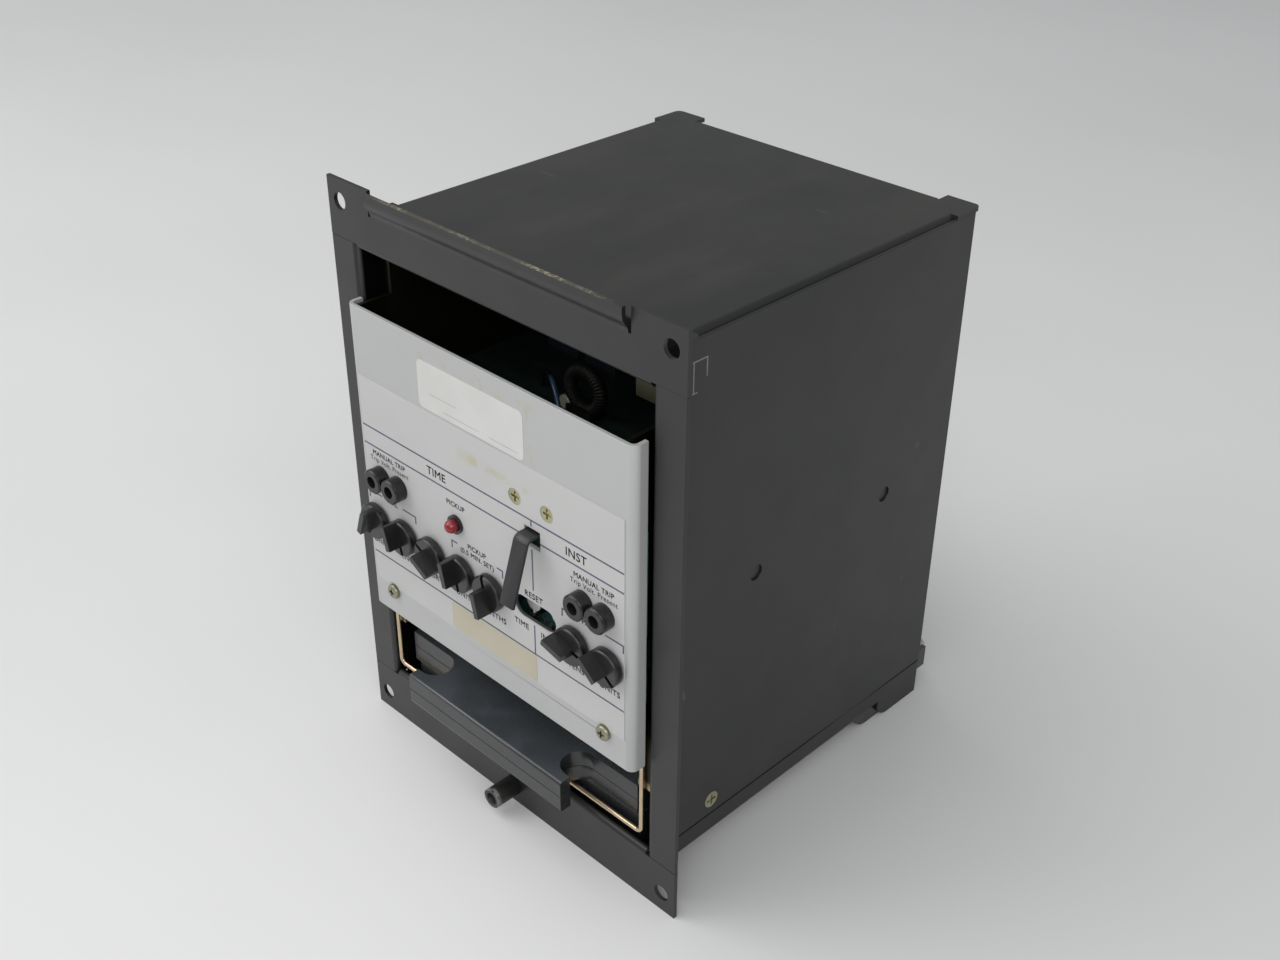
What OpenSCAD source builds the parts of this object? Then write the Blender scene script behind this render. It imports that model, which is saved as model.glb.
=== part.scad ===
// Drawout protection relay for a switchboard panel, in millimetres.
// A folded steel case is let into the panel and screwed on by its flange. The relay itself is a
// cradle that slides out of the case to the front once the connection plug is pulled.
// X runs to the right seen from the front, Y goes into the case and Z is up. The origin is the
// middle of the four flange holes, on the front face of the flange.

/* [Case] */
// Width of the mounting flange
flange_w = 168.3; // [164:0.1:176]
// Height of the mounting flange
flange_h = 228.6; // [224:0.1:236]
// Thickness of the case's steel sheet
sheet_t = 1.5; // [1:0.1:2]
// Inside radius of the sheet's bends
bend_r = 0.8; // [0.5:0.1:1.2]
// Width of the case behind the flange
body_w = 144; // [140:0.5:147]
// Depth of the side panels behind the flange's front face
body_d = 158; // [150:1:190]
// Drop from the flange's top edge to the case's top
top_drop = 11.5; // [10:0.1:13]
// Rise from the flange's bottom edge to the case's bottom
bottom_rise = 9; // [8:0.1:11]
// Height of the top and bottom flange strips
strip_h = 21.2; // [20:0.1:23]
// Half the gap inside the rolled hem of a strip
hem_r = 0.4; // [0.2:0.1:0.6]
// Distance of the flange holes from the flange's side edges
hole_edge_x = 6.35; // [5.5:0.05:7]
// Distance of the flange holes from the flange's top and bottom edges
hole_edge_z = 7.95; // [7:0.05:9]
// Diameter of the flange holes
hole_d = 6.4; // [5:0.1:7]
// Gap between parts of the case that are pushed together
fit = 0.1; // [0.05:0.05:0.2]
// Gap between the sheet edges at the flange's seams
seam = 0.15; // [0.1:0.05:0.3]

/* [Cover lip and stud] */
// Width of the hook lip for the cover
lip_w = 121.3; // [100:0.1:125]
// Slot between the lip and each ear
lip_slot = 1.2; // [0.8:0.1:2]
// How far the lip is joggled forward
lip_joggle = 2.6; // [1:0.1:3.5]
// Height of the whole lip, with its joggle
lip_h = 8.9; // [7:0.1:9.5]
// Height of the joggle's slope
joggle_h = 6.5; // [4:0.1:7]
// Outside diameter of the cover stud
stud_d = 8; // [7:0.1:9]
// Diameter of the cover stud's bore
stud_bore_d = 5; // [4:0.1:5.4]
// Length of the cover stud
stud_l = 11.3; // [8:0.1:16]
// Depth of the cover stud's bore
stud_bore_l = 9; // [5:0.1:10]

/* [Top cover and pan] */
// Height of the turned-down edges of the top
top_edge_h = 3.6; // [3.2:0.1:5]
// Where the front corner tabs of the top end
front_tab_end = 17.5; // [12:0.1:24]
// Length of the rear corner tabs of the top
rear_tab_l = 14; // [10:0.1:18]
// How far the rear corner tabs reach past the side panels
rear_tab_out = 3; // [1:0.1:5]
// Corner radius of the rear tabs
rear_tab_r = 2.5; // [1:0.1:4]
// Height of the pan's turned-up side flanges
pan_flange_h = 25.3; // [22:0.1:30]
// How far the pan's side flanges reach past the side panels
pan_out = 2; // [0:0.1:3]
// Length of the skirts that hang from the bottom pan's flanges at the rear
skirt_l = 26; // [20:0.5:34]
// Radius of a skirt's lower front corner
skirt_r = 7; // [3:0.5:12]
// Depth of the back panel's turned-in edges
back_edge = 12; // [6:0.5:16]

/* [Case fasteners and rails] */
// Depth of the side screw behind the flange
side_screw_y = 31.6; // [24:0.1:40]
// Height of the side screw above the flange's bottom edge
side_screw_rise = 27.3; // [25:0.1:30]
// Head diameter of the countersunk side screws
side_head_d = 6.6; // [5:0.1:8]
// Thread diameter of the side screws
side_thread_d = 3.2; // [2.5:0.1:4]
// Gap between the pan's front leg and its side flanges
pan_flange_gap = 1; // [0.5:0.1:2]
// How far the side screws reach past the pan's flanges
side_thread_past = 3; // [1:0.1:4]
// Height of the guide rails' middle
rail_z = 3.2; // [-10:0.1:30]
// Depth of the front rail rivets
rivet_front_y = 49.7; // [30:0.1:70]
// Depth of the rear rail rivets
rivet_rear_y = 120.1; // [100:0.1:130]
// Head diameter of the rail rivets
rivet_d = 5.8; // [4:0.1:6.2]
// How far the rivets' heads lie below the side panels' faces
rivet_sink = 0.8; // [0.3:0.1:1]
// Depth of the rails' front end
rail_front = 14; // [10:0.5:24]
// Gap between the rails' rear end and the side panels' rear edge
rail_rear_gap = 18; // [12:0.5:30]
// Height of the slot inside a rail
rail_slot = 6.6; // [5.6:0.1:9]
// Thickness of the rail sheet
rail_t = 1; // [0.8:0.1:1.2]
// Depth of a rail's lips
rail_lip = 2.4; // [2:0.1:2.8]

/* [Terminals] */
// Depth of the terminal block, front to back
block_d = 42.5; // [38:0.5:56]
// How far the terminal block stands out behind the side panels
block_out = 5; // [3:0.1:9]
// How far the terminal block reaches below the case
block_low = 6.5; // [3:0.1:8]
// Height of the terminal block
block_h = 38.5; // [32:0.5:40]
// Radius of the terminal block's lower front edge
block_r = 9; // [3:0.5:10]
// Terminals in a row
terminals = 5; // [4:1:5]
// Distance between terminals in a row
terminal_pitch = 27; // [24:0.5:27]
// Drop from the terminal block's top to the upper row of terminals
terminal_drop = 11.6; // [9:0.1:13]
// Distance between the two rows of terminals
terminal_row_gap = 14; // [12:0.1:15]
// Thickness of the barriers beside a terminal
barrier_t = 2; // [1:0.1:3]
// How far the barriers stand out behind the terminal block
barrier_out = 5; // [3:0.1:6]
// How far the pad under a terminal stands out behind the terminal block
pad_out = 3.4; // [2:0.1:4.5]
// Thickness of the clamp washer under a terminal screw's head
clamp_t = 2.2; // [1:0.1:3]
// How far the clamp washer reaches past a terminal screw's head
clamp_past = 0.5; // [0.2:0.1:0.8]
// Head diameter of a terminal screw
terminal_head_d = 9.4; // [7:0.1:9.5]
// Thread diameter of a terminal screw
terminal_thread_d = 4.8; // [4:0.1:6]
// Head height of a terminal screw
terminal_head_h = 4; // [2:0.1:5]
// Length of a terminal screw under its clamp washer
terminal_screw_l = 12; // [8:0.5:16]
// Width of the slot in a terminal screw's head
terminal_slot = 1.2; // [0.8:0.1:1.6]

/* [Front panel] */
// Height of the front panel
panel_h = 125.9; // [110:0.1:128]
// Height of the front panel's middle
panel_z = 10.95; // [8:0.05:14]
// How far the panel's face stands ahead of the flange
panel_proud = 6.8; // [6:0.1:8]
// Thickness of the panel's aluminium sheet
panel_t = 1.5; // [1.2:0.1:2]
// Inside radius of the panel's side bends
panel_r = 1.5; // [1:0.1:2]
// Gap between the panel's sides and the case opening
panel_side_gap = 0.5; // [0.3:0.1:1]
// Gap between the panel's turned-back sides and the flange
panel_back_gap = 0.6; // [0.4:0.1:1]
// Thickness of the printed film
film_t = 0.25; // [0.15:0.05:0.4]
// Height of the printed film
film_h = 86.6; // [80:0.1:92]
// Height of the printed film's middle
film_z = 4; // [0:0.1:8]
// Margin of the film at the panel's left edge
film_left = 0.4; // [0:0.1:1]
// Margin of the film at the panel's right edge
film_right = 2.8; // [1.6:0.1:4]

/* [Knobs] */
// Diameter of a knob's disc
knob_d = 14; // [11:0.1:15]
// Thickness of a knob's disc
knob_disc_h = 3; // [2:0.1:4]
// Height of a knob's grip bar above its disc
knob_bar_h = 5.4; // [4:0.1:9]
// Thickness of a knob's grip bar
knob_bar_t = 2.8; // [2:0.1:4]
// Length of a knob's grip bar past the middle, on the pointer's side
knob_bar_past = 2.6; // [2:0.1:4]
// Draft of the grip bar's sides, in from its foot to its crest
knob_draft = 0.3; // [0:0.05:0.6]
// Width of a knob's index groove
index_w = 1.5; // [0.8:0.1:2]
// Depth of a knob's index groove
index_d = 1.2; // [0.5:0.1:1.6]
// Chamfer of a knob's disc and of a jack's collar
rim_chamfer = 0.5; // [0.2:0.1:0.8]
// Gap between a knob and the panel
knob_gap = 1.2; // [0.8:0.1:2]
// Distance between neighbouring knobs
knob_pitch = 16; // [15.5:0.1:16.5]
// Position of the leftmost knob
knob_first_x = -61.7; // [-61.9:0.1:-61.5]
// Middle of the right-hand pair of knobs
knob_pair_x = 51.75; // [51:0.05:52.4]
// Height of the knobs' row
knob_z = -11; // [-12:0.1:-9]
// Diameter of a knob's spindle
spindle_d = 4; // [3:0.1:4.6]
// Radial running gap of spindles and pins
running = 0.05; // [0.02:0.01:0.1]
// Where each knob's pointer stands, in degrees from the right
knob_turns = [-109, -74, 151, -77, 103, -14, -40]; // [-180:1:180]

/* [Jacks and lamp] */
// Diameter of a test jack's collar
jack_d = 9.4; // [8:0.1:9.6]
// Bore of a test jack
jack_bore_d = 4.6; // [4:0.1:5]
// How far a test jack stands out
jack_out = 5; // [3:0.1:7]
// Depth of a test jack's bore
jack_bore_l = 14; // [10:0.5:14.5]
// Diameter of a test jack's bush
jack_bush_d = 6.5; // [6:0.1:7.5]
// Distance between the two jacks of a pair
jack_pitch = 9.9; // [9.7:0.1:10.5]
// Middle of the left pair of jacks
jack_left_x = -52.8; // [-54:0.05:-52]
// Height of the left pair of jacks
jack_left_z = 8.4; // [7:0.1:9]
// Middle of the right pair of jacks
jack_right_x = 52.55; // [52:0.05:54]
// Height of the right pair of jacks
jack_right_z = 7.3; // [7:0.1:9]
// Diameter of a test jack's pin
jack_pin_d = 2.4; // [1.6:0.1:3]
// Length of a test jack's pin, down to the front board
jack_pin_l = 1; // [0.5:0.1:1.5]
// Diameter of the pickup lamp
lamp_d = 5; // [4:0.1:6]
// Position of the pickup lamp
lamp_x = -15.85; // [-20:0.05:-10]
// Height of the pickup lamp
lamp_z = 7.9; // [5:0.1:12]
// How far the lamp's dome stands out
lamp_out = 5; // [4:0.1:7]
// How far the lamp's bezel stands out
bezel_out = 1.2; // [0.8:0.1:2]
// Width of the bezel's rim
bezel_rim = 1; // [0.6:0.1:1.4]
// How far the bezel reaches behind the panel
bezel_back = 1.5; // [1:0.1:3]

/* [Reset lever and targets] */
// Position of the reset lever and the target window
reset_x = 23.85; // [20:0.05:27]
// Size of the square hole for the lever
lever_hole = 7.5; // [7:0.1:9]
// Height of the square hole's middle
lever_hole_z = 20.7; // [19:0.1:22]
// Width of the lever's strip
lever_w = 6.6; // [5:0.1:6.8]
// Thickness of the lever's strip
lever_t = 1.2; // [0.8:0.1:1.6]
// Depth of the lever's pivot behind the flange's face
lever_pivot_y = 2; // [1:0.1:3]
// Height of the lever's pivot
lever_pivot_z = 22.9; // [22:0.1:23.5]
// How far the lever's bend stands ahead of the panel
lever_bend_out = 4.7; // [4:0.1:8]
// How far the lever's tip stands ahead of the panel
lever_tip_out = 12.2; // [10:0.1:16]
// Radius of the lever's bend, at the middle of the strip
lever_bend_r = 2.4; // [1.6:0.1:3]
// Wall of the lever's eye round its pin
lever_eye = 1.1; // [0.8:0.1:1.4]
// Drop from the lever's pivot to its tip
lever_drop = 23.3; // [18:0.1:26]
// Diameter of the lever's pivot pin
lever_pin_d = 2; // [1.5:0.1:2.4]
// Thickness of the lever's bracket
bracket_t = 1.2; // [0.8:0.1:1.6]
// Margin of the lever's bracket round its screws
bracket_margin = 4; // [3.5:0.1:5]
// Reach of the bracket's ears round the pivot
bracket_ear = 2.4; // [2:0.1:3]
// Length of the target window
window_l = 20.8; // [19:0.1:24]
// Height of the target window
window_h = 8.5; // [7:0.1:9.5]
// Height of the target window's middle
window_z = -9.5; // [-11:0.1:-8]
// Distance between the two target flags
flag_pitch = 12.4; // [11.6:0.1:13]
// Diameter of a target flag
flag_d = 6.6; // [6:0.1:6.8]
// Thickness of a target flag
flag_t = 0.8; // [0.6:0.1:1.2]
// Drop of the target flags below the window's middle
flag_drop = 1.2; // [0:0.1:2]
// Diameter of a target flag's axle
flag_axle_d = 1.2; // [1:0.1:1.6]
// Gap between a target flag and the ears of its frame
flag_gap = 0.8; // [0.5:0.1:1]
// Width of a target's frame
flag_frame_w = 3.2; // [3:0.1:5]
// Thickness of the ears of a target's frame
flag_frame_t = 1; // [0.8:0.1:1.2]
// How far the ears of a target's frame reach ahead of the flag's axle
flag_frame_front = 2; // [1.5:0.1:3]
// Head diameter of the countersunk screws
flat_head_d = 6; // [5:0.1:7]
// Distance between the countersunk screws
flat_pitch = 15.4; // [13:0.1:18]
// Sideways shift of the countersunk screws from the lever's middle
flat_shift = -0.45; // [-1:0.05:1]
// Height of the countersunk screws
flat_z = 33.2; // [31:0.1:36]
// Head diameter of the pan-head screws
pan_head_d = 7; // [6:0.1:8]
// Head height of the pan-head screws
pan_head_h = 2.4; // [1.8:0.1:3]
// Position of the left pan-head screw
pan_left_x = -56.55; // [-58:0.05:-54]
// Position of the right pan-head screw
pan_right_x = 56.85; // [54:0.05:58]
// Height of the pan-head screws
pan_z = -41.3; // [-44:0.1:-40]
// Thread diameter of the panel's screws
panel_thread_d = 3; // [2.5:0.1:3.5]
// Length of the panel's screws behind the panel
panel_screw_l = 4.5; // [3:0.1:6]

/* [Cradle] */
// Thickness of the cradle's plates
plate_t = 1.5; // [1.2:0.1:2]
// Gap between the case's sides and the cradle's side plates
cradle_gap = 4.6; // [4.4:0.1:5]
// Gap between the runners and the rails
slide_gap = 0.3; // [0.2:0.05:0.4]
// Gap between the cradle's top and the hem above it
cradle_top_gap = 3.2; // [2:0.1:6]
// Gap between the cradle's rear and the back of the case
cradle_rear_gap = 25; // [20:1:40]
// How far the side plates' front ears hang below the cradle's floor
ear_drop = 11; // [8:0.5:13]
// Width of the tab at the top of the right side plate
top_tab_w = 9; // [7:0.1:11]
// Height of that tab
top_tab_h = 8; // [6:0.1:10]
// Diameter of the relief hole in that tab's upper corner
top_tab_hole = 1.6; // [1.2:0.1:2]
// Width of the ledges under the main circuit board
ledge_w = 6; // [4:0.1:8]
// Length of those ledges
ledge_l = 14; // [8:0.5:20]
// Distance of the front ledges from the contact block's front
ledge_front = 10; // [6:0.5:16]
// Distance of the rear ledges from the cradle's rear
ledge_rear = 30; // [20:0.5:40]
// Height of the crossbar's lower edge above the panel's lower edge
crossbar_rise = 3; // [2:0.1:5]
// Height of the crossbar above its screws
crossbar_over = 6; // [5:0.1:7]
// Depth of the crossbar's lower leg
crossbar_d = 10; // [6:0.1:12]
// Setback of the runners' front end from the rails' front end
runner_set = 4; // [2:0.1:8]
// Thickness of the circuit boards
board_t = 1.6; // [1.2:0.1:2.4]
// Depth of the front circuit board behind the flange's face
front_board_y = 6; // [6:0.1:9]
// Height of the front circuit board above the lever's hole
board_above = 14; // [12.5:0.1:14.5]
// Reach of the front circuit board below the knobs
board_below = 23; // [22:0.1:24]
// Gap between the circuit boards and the side plates
board_gap = 2; // [1:0.1:3]
// Diameter of the front board's standoffs
standoff_d = 5; // [4:0.1:6]
// Distance of the standoffs from the front board's upper and lower edges
standoff_margin = 5; // [4:0.1:6]
// Distance of the standoffs from the front board's sides
standoff_side = 9; // [8:0.1:10]
// Width of a rotary switch
switch_w = 11; // [9:0.1:12]
// Gap between the rotary switches and the panel
switch_gap = 1.2; // [0.8:0.1:2]
// Thickness of a rotary switch's floor
switch_floor = 1.5; // [1:0.1:2]
// Height of the main circuit board
main_board_z = 37; // [36.5:0.1:44]
// Diameter of the ring choke
choke_d = 20; // [16:0.5:24]
// Winding thickness of the ring choke
choke_t = 5; // [4:0.1:6]
// Depth of the ring choke
choke_y = 40; // [36:0.5:50]
// Width of the ring choke's foot
choke_foot_w = 12; // [8:0.5:16]
// Margin of the foot before and behind the ring
choke_foot_edge = 1.5; // [1:0.1:2]
// Height of the ring choke's foot
choke_foot_h = 4; // [3:0.1:5]

/* [Circuit parts] */
// Width of an output relay
relay_w = 16; // [14:0.5:18]
// Depth of an output relay
relay_d = 28; // [24:0.5:32]
// Height of an output relay
relay_h = 16; // [12:0.5:20]
// Distance between the two output relays
relay_pitch = 20; // [18.5:0.5:24]
// Middle of the output relays
relay_x = -32; // [-36:0.5:-28]
// Gap between the ring choke's middle and the output relays
relay_behind = 28; // [20:0.5:30]
// Diameter of the capacitor
capacitor_d = 18; // [14:0.5:20]
// Height of the capacitor
capacitor_h = 32; // [24:0.5:36]
// Position of the capacitor
capacitor_x = 34; // [28:0.5:38]
// Distance of the capacitor behind the ring choke's middle
capacitor_behind = 40; // [30:0.5:46]
// Depth of the bead rolled into the capacitor's can
capacitor_bead = 0.8; // [0.4:0.1:1.2]
// Width of a transformer's core
core_w = 44; // [38:0.5:48]
// Height of a transformer's core
core_h = 46; // [38:0.5:50]
// Depth of a transformer's core
core_d = 24; // [18:0.5:28]
// Width of the core's outer legs and yokes
core_leg = 9; // [7:0.1:10]
// Width of each window in the core
core_window = 8; // [6:0.1:9]
// Distance between the two transformers
core_pitch = 60; // [52:0.5:64]
// Gap between the transformers' cores and the cradle's rear
core_rear_gap = 22; // [14:0.5:26]
// How far a coil stands out of its core, front and back
coil_out = 6; // [4:0.1:8]
// Gap between a coil and its core
coil_gap = 0.2; // [0.1:0.05:0.4]

/* [Plug and contacts] */
// Thickness of the connection plug
plug_t = 13.3; // [11:0.1:15]
// Width of the plug's body
plug_w = 124; // [118:0.5:126]
// Depth of the plug's body
plug_d = 40; // [34:0.5:46]
// Gap between the flange's face and the plug's body
plug_back = 4; // [3:0.1:6]
// Width of the plug's front bar
plug_bar_w = 84.3; // [70:0.1:92]
// Depth of the plug's front bar
plug_bar_d = 4.7; // [3.5:0.1:6]
// How far the plug's front bar stands ahead of the flange
plug_out = 14.2; // [13:0.1:18]
// Width of the plug's neck
plug_neck_w = 66; // [50:0.5:70]
// Radius of the plug's front edges
plug_edge_r = 1.2; // [0.5:0.1:2]
// Width and depth of the parting groove round the plug
plug_groove = 0.4; // [0.2:0.1:0.6]
// Height of the case's contact block
case_block_h = 20.3; // [18:0.1:22]
// Height of the cradle's contact block
cradle_block_h = 14; // [12:0.1:15]
// Depth of the contact blocks, front to back
contact_block_d = 38; // [34:0.5:42]
// Gap between the pan's front leg and the case's contact block
case_block_gap = 2.2; // [1.5:0.1:4]
// Depth of the cradle's contact block behind the flange's face
cradle_block_y = 10; // [9:0.1:12]
// Setback of the contact fingers from the blocks' front
contact_set = 4; // [2:0.1:6]
// Height of the straps to the terminals above the pan's floor
strap_rise = 5; // [3:0.1:8]
// Setback of the plug's contacts from the front of its body
plug_contact_set = 6; // [4:0.1:8]
// Contacts side by side
contacts = 10; // [8:1:10]
// Distance between contacts
contact_pitch = 11.6; // [10:0.1:11.8]
// Width of a contact
contact_w = 5; // [3:0.1:6]
// Thickness of a contact
contact_t = 0.6; // [0.4:0.1:0.8]
// Gap between the plug and the contact fingers
contact_gap = 0.35; // [0.3:0.05:0.5]

/* [Bail] */
// Diameter of the bail's wire
wire_d = 1.8; // [1.5:0.1:2.4]
// Depth of the bail's legs behind the flange's face
bail_y = 0.8; // [0.6:0.1:1.2]
// Height of the bail's pivot
bail_pivot_z = -44.3; // [-46:0.1:-42]
// Gap between the bail and the plug's underside
bail_gap = 1.7; // [1.5:0.1:2.4]
// How far the bail's pins reach past the side plates
pin_reach = 3; // [1:0.1:4]
// Bend radius of the bail's lower corners
bail_r = 2.4; // [2:0.1:6]

/* [Hidden] */
$fn = 48;

// Case
arc_over = 20;
half_w = body_w / 2;
inner_x = half_w - sheet_t;
bend_out = bend_r + sheet_t;
top_level = flange_h / 2 - top_drop;
low_level = flange_h / 2 - bottom_rise;
strip_low = flange_h / 2 - strip_h;
hem_w = 2 * (inner_x - 6 * fit);
leg_y = sheet_t + 2 * hem_r;
flat_y = leg_y + bend_out;
hem_low = strip_low - hem_r - sheet_t;
tuck_x = inner_x - fit;
rear_tab_y = body_d + rear_tab_out - rear_tab_l;
top_rear_y = body_d - 4 * fit;
side_low = -strip_low - 2 * fit;
hole_pitch_x = flange_w - 2 * hole_edge_x;
hole_pitch_z = flange_h - 2 * hole_edge_z;
stud_z = -hole_pitch_z / 2;
side_screw_z = -flange_h / 2 + side_screw_rise;
pan_floor = -low_level + sheet_t;
rail_x = inner_x - rail_t;
rail_rear = body_d - rail_rear_gap;

// Terminals
block_y = body_d + block_out - block_d;
block_bottom = -low_level - block_low;
block_top = block_bottom + block_h;
block_x = tuck_x - sheet_t - 3 * fit;
block_back = body_d + block_out;
pad_back = block_back + pad_out;
barrier_x = terminal_head_d / 2 + barrier_t;
skirt_y = body_d + pan_out - skirt_l;
skirt_h = block_low + pan_flange_h;
terminal_rows = [block_top - terminal_drop, block_top - terminal_drop - terminal_row_gap];
terminal_shift = terminal_pitch / 4;

// Cradle
plate_x = inner_x - cradle_gap;
plate_in = plate_x - plate_t;
plate_y = front_board_y + board_t + 10 * fit;
cradle_top = hem_low - cradle_top_gap;
cradle_rear = body_d - cradle_rear_gap;
panel_face = -panel_proud;
panel_back = panel_face + panel_t;
panel_x = inner_x - panel_side_gap;
panel_low = panel_z - panel_h / 2;
film_face = panel_face - film_t;
knob_x = [for (i = [0:6]) i < 5 ? knob_first_x + i * knob_pitch : knob_pair_x + (i - 5.5) * knob_pitch];
flag_x = [reset_x - flag_pitch / 2, reset_x + flag_pitch / 2];
flag_z = window_z - flag_drop;
flag_y = panel_back + flag_d / 2 + slide_gap;
flat_at = [for (side = [-1, 1]) reset_x + flat_shift + side * flat_pitch / 2];
jack_at = [for (pair = [[jack_left_x, jack_left_z], [jack_right_x, jack_right_z]], side = [-1, 1])
    [pair[0] + side * jack_pitch / 2, pair[1]]];
board_low = knob_z - board_below;
board_top = lever_hole_z + board_above;
board_x = plate_in - board_gap;
main_top = main_board_z + board_t;
core_y = cradle_rear - core_rear_gap - core_d;
core_x = [-core_pitch / 2, core_pitch / 2];
core_mid = core_w - 2 * core_leg - 2 * core_window;
crossbar_low = panel_low + crossbar_rise;
crossbar_top = pan_z + crossbar_over;

// Plug and contacts, stacked up from the pan's floor
case_block_top = pan_floor + case_block_h;
plug_low = case_block_top + contact_t + contact_gap;
plug_top = plug_low + plug_t;
cradle_block_low = plug_top + contact_gap + contact_t;
cradle_block_top = cradle_block_low + cradle_block_h;
floor_top = cradle_block_top + plate_t;
case_block_y = leg_y + sheet_t + case_block_gap;
contact_x = [for (i = [0:contacts - 1]) (i - (contacts - 1) / 2) * contact_pitch];
bail_low = plug_low - bail_gap - wire_d / 2;
bail_x = plate_x + slide_gap + wire_d / 2;
ear_y = bail_y + wire_d / 2 + slide_gap;
ear_x = inner_x - slide_gap;

// Shapes that repeat

// Extrudes a section drawn in Y and Z along X.
module along_x(x0, w) {
    translate([x0, 0, 0]) rotate([90, 0, 90]) linear_extrude(w) children();
}

// Extrudes an outline drawn in X and Z along Y.
module along_y(y0, d) {
    translate([0, y0 + d, 0]) rotate([90, 0, 0]) linear_extrude(d) children();
}

// Extrudes an outline drawn in X and Y along Z.
module along_z(z0, h) {
    translate([0, 0, z0]) linear_extrude(h) children();
}

module rod_x(x0, x1, y, z, r) {
    translate([x0, y, z]) rotate([0, 90, 0]) cylinder(h = x1 - x0, r = r);
}

module rod_y(x, z, y0, y1, r) {
    translate([x, y0, z]) rotate([-90, 0, 0]) cylinder(h = y1 - y0, r = r);
}

module cone_x(x0, x1, y, z, r0, r1) {
    translate([x0, y, z]) rotate([0, 90, 0]) cylinder(h = x1 - x0, r1 = r0, r2 = r1);
}

module cone_y(x, z, y0, y1, r0, r1) {
    translate([x, y0, z]) rotate([-90, 0, 0]) cylinder(h = y1 - y0, r1 = r0, r2 = r1);
}

module box(x0, x1, y0, y1, z0, z1) {
    translate([x0, y0, z0]) cube([x1 - x0, y1 - y0, z1 - z0]);
}

// A quarter of a bent sheet's section, round the origin, towards the signs given.
module bend_2d(sx, sy, ri, ro) {
    intersection() {
        difference() {
            circle(ro);
            circle(ri);
        }
        translate([sx > 0 ? 0 : -ro, sy > 0 ? 0 : -ro]) square(ro);
    }
}

// Part of a bent sheet's section, round the origin, between two angles under 120 degrees apart. Arcs are
// drawn arc_over degrees too long and trimmed, so that they meet the straight parts on one line.
module arc_2d(ri, ro, a0, a1) {
    reach = 3 * ro;
    intersection() {
        difference() {
            circle(ro);
            circle(ri);
        }
        polygon([[0, 0], [reach * cos(a0), reach * sin(a0)], [reach * cos(a1), reach * sin(a1)]]);
    }
}

// Cross recess of a screw head that faces the front, cut down from its top.
module cross_y(x, z, y, d, depth) {
    for (turn = [0, 90])
        translate([x, y, z]) rotate([0, turn, 0]) box(-d / 3, d / 3, -1, depth, -d / 14, d / 14);
}

module mirrored_x(side) {
    mirror([side < 0 ? 1 : 0, 0, 0]) children();
}

// Case

// Section of a strip's hem, of the leg behind the strip and of the bend into the panel.
module folded_front_2d(level) {
    translate([sheet_t + hem_r, strip_low]) bend_2d(-1, -1, hem_r, hem_r + sheet_t);
    translate([sheet_t + hem_r, strip_low]) bend_2d(1, -1, hem_r, hem_r + sheet_t);
    translate([leg_y, strip_low]) square([sheet_t, level - bend_out - strip_low]);
    translate([leg_y + bend_out, level - bend_out]) bend_2d(-1, 1, bend_r, bend_out);
}

module flange_holes_2d() {
    for (x = [-1, 1], z = [-1, 1])
        translate([x * hole_pitch_x / 2, z * hole_pitch_z / 2]) circle(d = hole_d);
}

// Section of the hook lip: up from the strip, joggled forward in two arcs, then upright again.
module lip_2d() {
    z0 = flange_h / 2 - lip_h;
    z1 = z0 + joggle_h;
    turn = 2 * atan2(lip_joggle, joggle_h);
    r = joggle_h / 2 / sin(turn);
    ri = r - sheet_t / 2;
    ro = r + sheet_t / 2;
    intersection() {
        translate([(sheet_t - lip_joggle) / 2, z0 + joggle_h / 2]) rotate(turn) {
            translate([-r, 0]) arc_2d(ri, ro, -turn - arc_over, 0);
            translate([r, 0]) arc_2d(ri, ro, 180 - turn - arc_over, 180);
        }
        translate([-lip_h, z0]) square([2 * lip_h, joggle_h]);
    }
    translate([-lip_joggle, z1]) square([sheet_t, lip_h - joggle_h]);
}

module front_strip_2d() {
    translate([-flange_w / 2, strip_low]) square([flange_w, strip_h]);
}

// Flat of the top with its four corner tabs.
module top_flat_2d() {
    flat_x = tuck_x - bend_out;
    translate([-flat_x, flat_y]) square([2 * flat_x, top_rear_y - bend_out - flat_y]);
    translate([-half_w, flat_y]) square([body_w, front_tab_end - flat_y]);
    for (side = [-1, 1]) mirror([side < 0 ? 1 : 0, 0]) rear_tab_2d();
}

module rear_tab_2d() {
    y1 = rear_tab_y + rear_tab_l;
    translate([half_w - rear_tab_l, rear_tab_y]) square([rear_tab_l, rear_tab_l - rear_tab_r]);
    translate([half_w - rear_tab_l, rear_tab_y]) square([rear_tab_l - rear_tab_r, rear_tab_l]);
    translate([half_w - rear_tab_r, y1 - rear_tab_r]) circle(rear_tab_r);
}

module top_side_edge_2d() {
    translate([tuck_x - bend_out, top_level - bend_out]) bend_2d(1, 1, bend_r, bend_out);
    translate([tuck_x - sheet_t, top_level - top_edge_h]) square([sheet_t, top_edge_h - bend_out]);
}

module top_rear_edge_2d() {
    translate([top_rear_y - bend_out, top_level - bend_out]) bend_2d(1, 1, bend_r, bend_out);
    translate([top_rear_y - sheet_t, top_level - top_edge_h]) square([sheet_t, top_edge_h - bend_out]);
}

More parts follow.
